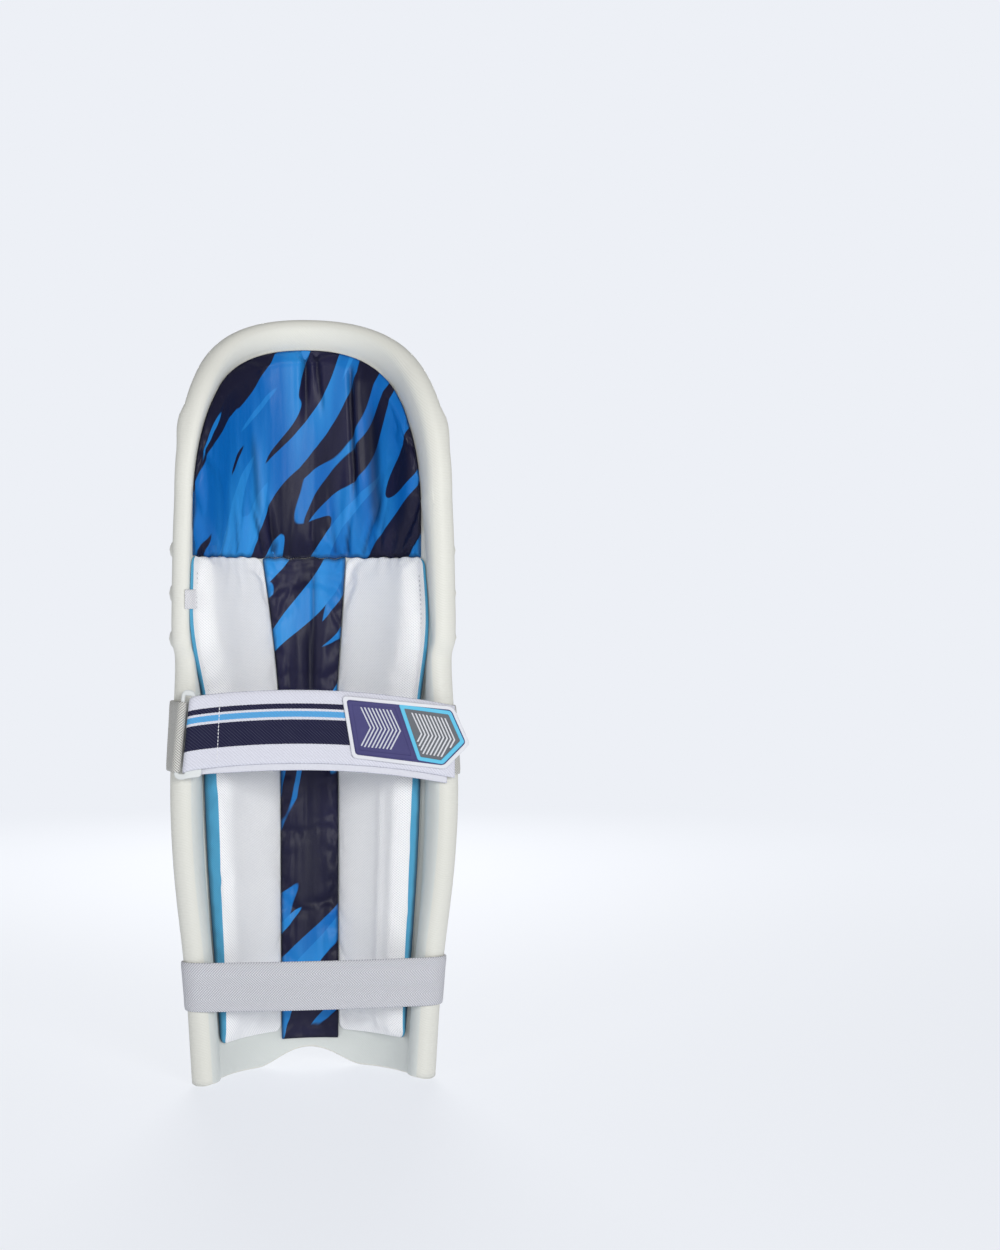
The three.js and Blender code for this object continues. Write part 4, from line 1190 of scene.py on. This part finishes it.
def makeRing():
    size = {"around": 160, "section": 20, "power": 3.2, "lobe": 11.5, "lobeRise": 0.05, "lobeTop": (8, 26)}
    ring = addPrimitive(bpy.ops.mesh.primitive_torus_add, "ringMoulded", major_segments=size["around"],
                        minor_segments=size["section"], major_radius=1.0, minor_radius=0.25)
    spots = readPoints(ring)
    angle = np.arctan2(spots[:, 1], spots[:, 0]) % tau
    minor = np.arctan2(spots[:, 2], np.hypot(spots[:, 0], spots[:, 1]) - 1.0)
    halfW = (ringSize["width"] - ringSize["bar"]) / 2
    halfH = (ringSize["height"] - ringSize["endBar"]) / 2
    corner = ringSize["corner"]
    pieces = []
    for startAngle, cx, cz in ((0, 1, 1), (90, -1, 1), (180, -1, -1), (270, 1, -1)):
        turn = np.radians(np.linspace(startAngle, startAngle + 90, 24))
        pieces.append(np.stack([cx * (halfW - corner) + corner * np.cos(turn),
                                cz * (halfH - corner) + corner * np.sin(turn)], -1))
    outline = np.concatenate(pieces + [pieces[0][:1]])
    run = runAlong(outline)
    at = angle / tau * run[-1]
    centre = pointsAt(at, run, outline)
    along = pointsAt((at + 0.2) % run[-1], run, outline) - centre
    along /= np.linalg.norm(along, axis=1)[:, None]
    out = np.stack([along[:, 1], -along[:, 0]], -1)
    halfBar = lerp(ringSize["bar"], ringSize["endBar"], out[:, 1] ** 2) / 2
    c, sn = np.cos(minor), np.sin(minor)
    power = 2 / size["power"]
    wide = np.sign(c) * np.abs(c) ** power
    tall = np.sign(sn) * np.abs(sn) ** power
    flat = centre + out * (wide * halfBar)[:, None]
    past = np.maximum(flat[:, 0] - halfW, 0)
    past = past + size["lobe"] * smooth(past, 0, ringSize["bar"] / 2) * smooth(-flat[:, 1], *size["lobeTop"])
    local = np.stack([np.minimum(flat[:, 0] - halfW, 0), tall * ringSize["thick"] / 2, flat[:, 1]], -1)
    turn = -ringSize["tilt"]
    x = local[:, 0] * math.cos(turn) - local[:, 1] * math.sin(turn) + past
    y = local[:, 0] * math.sin(turn) + local[:, 1] * math.cos(turn) - size["lobeRise"] * past
    lean = math.atan(ringSize["lean"])
    leanX = x * math.cos(lean) + local[:, 2] * math.sin(lean)
    leanZ = local[:, 2] * math.cos(lean) - x * math.sin(lean)
    placePoints(ring, np.stack([leanX + ringSize["barX"], y - barDepth, leanZ + barZ], -1))
    faceOut(ring)
    setMaterials(ring, [milkyPlastic])
    finishPiece(ring, ["strap_ring"])


# Patch: a moulded tab with a border, two framed fields and raised chevrons
patchSize = {
    "startX": 22.0, "gap": 0.5, "pitch": 3.4, "bar": 1.5, "middle": 2.0, "lean": 0.5, "reach": 18.0,
    "clear": 1.2, "least": 4, "bevel": 0.35, "border": 3.4, "top": 1.75, "floor": 1.1, "frame": 3.6,
    "split": 61.0, "splitGap": 0.5, "round": 4.5, "fieldRound": 2.2, "inset": 0.9, "edgeAngle": 28,
    "splitNormal": (0.94, 0.34), "tips": {-1: (27, 9), 1: (74, 10)},  # first tip and count in each field
}
patchOutline = [(0, 29), (9.5, -27), (95, -27), (118.5, 1), (103, 32)]


def patchPlace(points):
    x = patchSize["startX"] + points[:, 0]
    depth = upperDepth(x) + strapSize["thick"] / 2 + patchSize["gap"] + points[:, 2]
    return np.stack([x, -depth, strapZ(x) + points[:, 1]], -1)


def cross2(a, b):
    return a[..., 0] * b[..., 1] - a[..., 1] * b[..., 0]


# A convex outline moved inwards by a distance
def movedIn(corners, inset):
    corners = np.asarray(corners, float)
    along = np.roll(corners, -1, axis=0) - corners
    along /= np.linalg.norm(along, axis=1)[:, None]
    base = corners + np.stack([-along[:, 1], along[:, 0]], -1) * inset
    before, beforeAlong = np.roll(base, 1, axis=0), np.roll(along, 1, axis=0)
    t = cross2(base - before, along) / cross2(beforeAlong, along)
    return before + beforeAlong * t[:, None]


def rounded(corners, radius, count=7):
    t = np.linspace(0, 1, count)[:, None]
    parts = []
    for n, corner in enumerate(corners):
        back, on = corners[n - 1] - corner, corners[(n + 1) % len(corners)] - corner
        start = corner + back / np.linalg.norm(back) * radius
        stop = corner + on / np.linalg.norm(on) * radius
        parts.append((1 - t) ** 2 * start + 2 * t * (1 - t) * corner + t * t * stop)
    return np.concatenate(parts)


# The part of a convex outline on one side of a line
def clipped(corners, spot, normal):
    kept = []
    for n, here in enumerate(corners):
        there = corners[(n + 1) % len(corners)]
        a, b = (here - spot) @ normal, (there - spot) @ normal
        if a >= 0:
            kept.append(here)
        if a * b < 0:
            kept.append(here + (there - here) * a / (a - b))
    return np.array(kept)


class Sheets:
    def __init__(self):
        self.points, self.faces, self.paint = [], [], []

    def ring(self, loop, height):
        first = len(self.points)
        self.points += [(u, w, height) for u, w in loop]
        return list(range(first, len(self.points)))

    # Joins closed loops upwards; each row is a loop, its height and the colour slot below it
    def stack(self, rows):
        low = None
        for loop, height, slot in rows:
            high = self.ring(loop, height)
            for n in range(len(high) if low else 0):
                m = (n + 1) % len(high)
                self.fill((low[n], low[m], high[m], high[n]), slot)
            low = high
        return low

    def fill(self, ids, slot):
        self.faces.append(tuple(ids))
        self.paint.append(slot)


# Adds rings of an outline, each row a distance inwards, a height and the colour slot below it
def addLoops(sheets, corners, rows, radius, fillSlot):
    loops = []
    for inset, height, slot in rows:
        loop = rounded(movedIn(corners, inset), max(radius - 0.35 * inset, 0.8))
        loops.append((loop, height, slot))
    sheets.fill(sheets.stack(loops), fillSlot)


def chevronReach(field, tip, direction):
    inside = movedIn(field, patchSize["clear"])
    along = np.roll(inside, -1, axis=0) - inside
    best = 0.0
    for reach in np.linspace(1, patchSize["reach"], 37):
        ends = [np.array([tip - patchSize["lean"] * reach - wide, patchSize["middle"] + direction * reach])
                for wide in (0.0, patchSize["bar"])]
        if all(np.all(cross2(along, end - inside) > 0) for end in ends):
            best = reach
    return best


def addChevrons(sheets, field, tips, slot):
    low, high = patchSize["floor"] - 0.2, patchSize["top"] + 0.1
    for tip in tips:
        up, down = [chevronReach(field, tip, direction) for direction in (1, -1)]
        if min(up, down) < patchSize["least"]:
            continue
        lean, middle = patchSize["lean"], patchSize["middle"]
        line = [(tip - lean * down, middle - down), (tip, middle), (tip - lean * up, middle + up)]
        bevel = patchSize["bevel"]
        loops = []
        for narrow, height in ((0.0, low), (0.0, high - bevel), (bevel, high)):
            wide = patchSize["bar"] - narrow
            loop = [(u - narrow, w) for u, w in line] + [(u - wide, w) for u, w in reversed(line)]
            loops.append((loop, height, slot))
        ids = sheets.stack(loops)
        sheets.fill((ids[0], ids[1], ids[4], ids[5]), slot)
        sheets.fill((ids[1], ids[2], ids[3], ids[4]), slot)


def makePatch():
    white, navy, sky, silver, dusk = range(5)
    top, floor, border, edge = patchSize["top"], patchSize["floor"], patchSize["border"], patchSize["frame"]
    sheets = Sheets()
    outline = np.array(patchOutline, float)
    rows = [(0.0, 0.0, white), (0.0, top - 0.75, white), (0.3, top - 0.2, white), (0.9, top, white),
            (border - 0.3, top, white), (border, top - 0.3, white), (border + 0.15, floor, navy)]
    addLoops(sheets, outline, rows, patchSize["round"], navy)
    inner = movedIn(outline, border + patchSize["inset"])
    normal = np.array(patchSize["splitNormal"])  # across the line between the fields
    spot = np.array([patchSize["split"], 0.0])
    for side, frameSlot, fieldSlot, ridgeSlot in ((-1, navy, navy, silver), (1, sky, dusk, white)):
        field = clipped(inner, spot + side * normal * patchSize["splitGap"], side * normal)
        rows = [(0.0, floor, frameSlot), (0.25, top - 0.2, frameSlot), (edge - 0.25, top - 0.2, frameSlot),
                (edge, floor + 0.05, frameSlot)]
        addLoops(sheets, field, rows, patchSize["fieldRound"], fieldSlot)
        first, count = patchSize["tips"][side]
        tips = first + patchSize["pitch"] * np.arange(count)
        addChevrons(sheets, movedIn(field, edge), tips, ridgeSlot)
    tab = addMesh("patchTab", sheets.points, sheets.faces)
    setMaterials(tab, [whiteRubber, navyRubber, skyRubber, silverRubber, duskRubber], sheets.paint)
    placePoints(tab, patchPlace(readPoints(tab)))
    faceOut(tab)
    bpy.ops.object.shade_smooth_by_angle(angle=math.radians(patchSize["edgeAngle"]))
    finishPiece(tab, ["strap_patch"])


def makeTag():
    size = {"z": 446.0, "height": 17.0, "thick": 0.9, "across": 8, "step": 0.9, "past": 1.2, "deep": 8,
            "turns": (76.0, 70, 63, 56, 48), "gap": 1.0}
    rowsZ = heightsAcross(size["z"], size["height"], size["across"])
    outer = float(bolsterEdges(-1, size["z"])[1])
    made = []
    for z in rowsZ:
        foot = padPoint(-outer - size["past"], z, padSize["wall"] + size["deep"])[None]
        turns = rimPlace(-1, z, np.array(size["turns"]), size["gap"])
        made.append(np.concatenate([foot, turns]))
    band, run = layBand("tagLoop", made, rowsZ, size["step"], 3, size["thick"], tagWeave)
    finishPiece(band, ["side_tag"])


ankleSize = {"z": 92.0, "width": 44.0, "thick": 2.2, "bulge": 5.0, "start": 110.0, "across": 14, "step": 2.6}


def makeAnkleBand():
    size = ankleSize
    centre = webSize["gap"] + size["thick"] / 2
    rowsZ = heightsAcross(size["z"], size["width"], size["across"])
    t = np.linspace(0, 1, 60)[1:-1]
    made = []
    for z in rowsZ:
        left = wrapLine(-1, z, size["start"], centre)
        right = wrapLine(1, z, size["start"], centre)[::-1]
        across = lerp(left[-1], right[0], t[:, None])
        across[:, 1] -= size["bulge"] * (1 - (2 * t - 1) ** 2)
        made.append(np.concatenate([left, across, right]))
    band, run = layBand("ankleBand", made, rowsZ, size["step"], 2, size["thick"], plainWeb)
    finishPiece(band, ["ankle_strap"])


# Camera, light and floor
def makeStage():
    size = {"distance": 2.1, "azimuth": -4.0, "elevation": 1.0, "lens": 64.4, "pixel": 0.95 * mm,
            "padX": 314.0, "topY": 321.0, "middleX": 500, "middleY": 625, "aimZ": 0.4,
            "floor": 9.0, "floorDrop": 0.0006, "floorGlow": 0.785, "near": 0.7, "far": 2.6, "dome": 12.0}
    scene = bpy.context.scene
    scene.view_settings.view_transform = "Standard"
    scene.view_settings.look = "None"
    middleZ = padSize["height"] * mm - (size["middleY"] - size["topY"]) * size["pixel"]
    padMiddle = Vector((padShift[0] * mm, 0.0, middleZ))
    a, e = math.radians(size["azimuth"]), math.radians(size["elevation"])
    away = Vector((math.sin(a) * math.cos(e), -math.cos(a) * math.cos(e), math.sin(e)))
    right = Vector((math.cos(a), math.sin(a), 0.0))
    camera = addObject("camera", bpy.data.cameras.new("camera"))
    camera.data.lens = size["lens"]
    camera.data.sensor_width = 36.0
    camera.location = padMiddle + away * size["distance"]
    target = padMiddle + right * (size["middleX"] - size["padX"]) * size["pixel"]
    camera.rotation_euler = (target - camera.location).to_track_quat("-Z", "Y").to_euler()
    scene.camera = camera
    world = bpy.data.worlds.new("studio")
    scene.world = world
    world.use_nodes = True
    pale = rgb(0.847, 0.871, 0.922)
    world.node_tree.nodes["Background"].inputs[0].default_value = rgb(0.94, 0.96, 1.0)
    world.node_tree.nodes["Background"].inputs[1].default_value = 0.30
    lights = [  # name, place, width, power
        ("key", (0.9, -2.8, 1.0), 1.1, 42.0),
        ("fill", (-1.6, -2.4, 1.1), 0.9, 12.0),
        ("front", (0.2, 2.9, 0.8), 1.5, 60.0),
    ]
    for name, place, wide, power in lights:
        lamp = bpy.data.lights.new(name, "AREA")
        lamp.shape = "DISK"
        lamp.size = wide
        lamp.energy = power
        lamp.color = (1.0, 0.99, 0.97)
        holder = addObject(name, lamp)
        holder.location = place
        aim = Vector((0, 0, size["aimZ"])) - holder.location
        holder.rotation_euler = aim.to_track_quat("-Z", "Y").to_euler()
    disk = bpy.ops.mesh.primitive_circle_add
    floor = addPrimitive(disk, "floor", vertices=96, radius=size["floor"], fill_type="TRIFAN")
    writePoints(floor, readPoints(floor) - np.array([0.0, 0.0, size["floorDrop"]]))
    made, tree = startMaterial("paleFloor", 0.9, 0.0, 0.1)
    shader = tree.nodes["Principled BSDF"]
    cloud = noise(tree, 1.5, 2.0)
    tone = blendColor(tree, cloud, rgb(0.205, 0.212, 0.224), rgb(0.212, 0.219, 0.231))
    tree.links.new(tone, shader.inputs["Base Color"])
    shader.inputs["Emission Color"].default_value = pale
    shader.inputs["Emission Strength"].default_value = size["floorGlow"]
    place = addNode(tree, "ShaderNodeTexCoord").outputs["Object"]
    away = addNode(tree, "ShaderNodeVectorMath", {0: place}, operation="LENGTH").outputs["Value"]
    plain = plainGlow(tree, pale)
    fade = addNode(tree, "ShaderNodeMixShader", {0: step(tree, away, size["near"], size["far"])})
    tree.links.new(shader.outputs[0], fade.inputs[1])
    tree.links.new(plain, fade.inputs[2])
    tree.links.new(fade.outputs[0], tree.nodes["Material Output"].inputs["Surface"])
    setMaterials(floor, [made])
    ball = bpy.ops.mesh.primitive_uv_sphere_add
    dome = addPrimitive(ball, "backdrop", segments=48, ring_count=24, radius=size["dome"])
    made, tree = startMaterial("paleBackdrop")
    plain = plainGlow(tree, pale)
    tree.links.new(plain, tree.nodes["Material Output"].inputs["Surface"])
    setMaterials(dome, [made])
    for sight in ("diffuse", "glossy", "transmission", "volume_scatter", "shadow"):
        setattr(dome, "visible_" + sight, False)


# Each run is a line of places and the way its stitches face
def sewRuns(name, runs, pitch, length, width, thread, slot):
    found = [alongLine(line, toward, pitch) for line, toward in runs]
    joined = [np.concatenate(group) for group in zip(*found)]
    makeStitches(name, *joined, length, width, thread, slot)


def wingRun(side, s, z, thick):
    line = padPoint(side * s, z, -relief(side * s, z) - webSize["gap"] - thick - 0.15)
    return line, padPoint(side * s, z, -30.0) - padPoint(side * s, z, -29.0)


def flangeRun(side, z):
    inner, outer = bolsterEdges(side, z)
    inner = inner + liningSize["gap"]
    width = outer - inner
    f = 1 - (bolsterSize["flange"] - 1.0) / width
    depth = layDepth + bolsterLift(side, z, f, 1.0, width)
    line = padPoint(side * lerp(inner, outer, f), z, depth + 0.1)
    return line, padPoint(side * lerp(inner, outer, f), z, depth + 1.0) - line


def makeSeams():
    size = {"strapX": -89.0, "strapLean": 0.05, "strapHalf": 30, "flange": (356, 470), "boxInset": 4,
            "anchorS": (115.0, 121.0), "ankleS": (114.0, 120.0), "ankleHalf": 18}
    strapSew, flangeSew, boxSew = (3.2, 3.1, 0.9), (4.4, 2.4, 0.75), (3.4, 2.6, 0.8)  # pitch, length, width
    z = np.linspace(-size["strapHalf"], size["strapHalf"], 80)
    x = size["strapX"] + size["strapLean"] * z
    depth = laidDepth(x, ringSize["barX"]) + strapSize["thick"] / 2
    line = np.stack([x, -depth - 0.1, strapZ(x) + z], -1)
    toward = np.repeat(np.array([[0.0, -1.0, 0.0]]), len(z), axis=0)
    sewRuns("strapStitches", [(line, toward)], *strapSew, whiteThread, "strap_fabric")
    runs = [flangeRun(side, np.linspace(*size["flange"], 120)) for side in (-1, 1)]
    sewRuns("flangeStitches", runs, *flangeSew, greyThread, "bolster_mesh")
    runs = []
    for side in (-1, 1):
        half = webSize["width"] / 2 - size["boxInset"]
        z = np.linspace(webMiddle(side) - half, webMiddle(side) + half, 60)
        runs += [wingRun(side, s, z, webSize["thick"]) for s in size["anchorS"]]
    sewRuns("anchorStitches", runs, *boxSew, whiteThread, "herringbone_webbing")
    z = np.linspace(ankleSize["z"] - size["ankleHalf"], ankleSize["z"] + size["ankleHalf"], 40)
    runs = [wingRun(side, s, z, ankleSize["thick"]) for side in (-1, 1) for s in size["ankleS"]]
    sewRuns("ankleStitches", runs, *boxSew, greyThread, "herringbone_webbing")


makeStage()
print("stage ready")
makeShell()
makeKneePanel()
makeShinStrip()
makeBolster("innerBolsterPad", -1, "inner_bolster")
makeBolster("outerBolsterPad", 1, "outer_bolster")
makeAnchor("innerAnchorWeb", -1, "inner_anchor")
makeAnchor("outerAnchorWeb", 1, "outer_anchor")
makeRing()
makeStrap()
makePatch()
makeTag()
makeAnkleBand()
makeSeams()
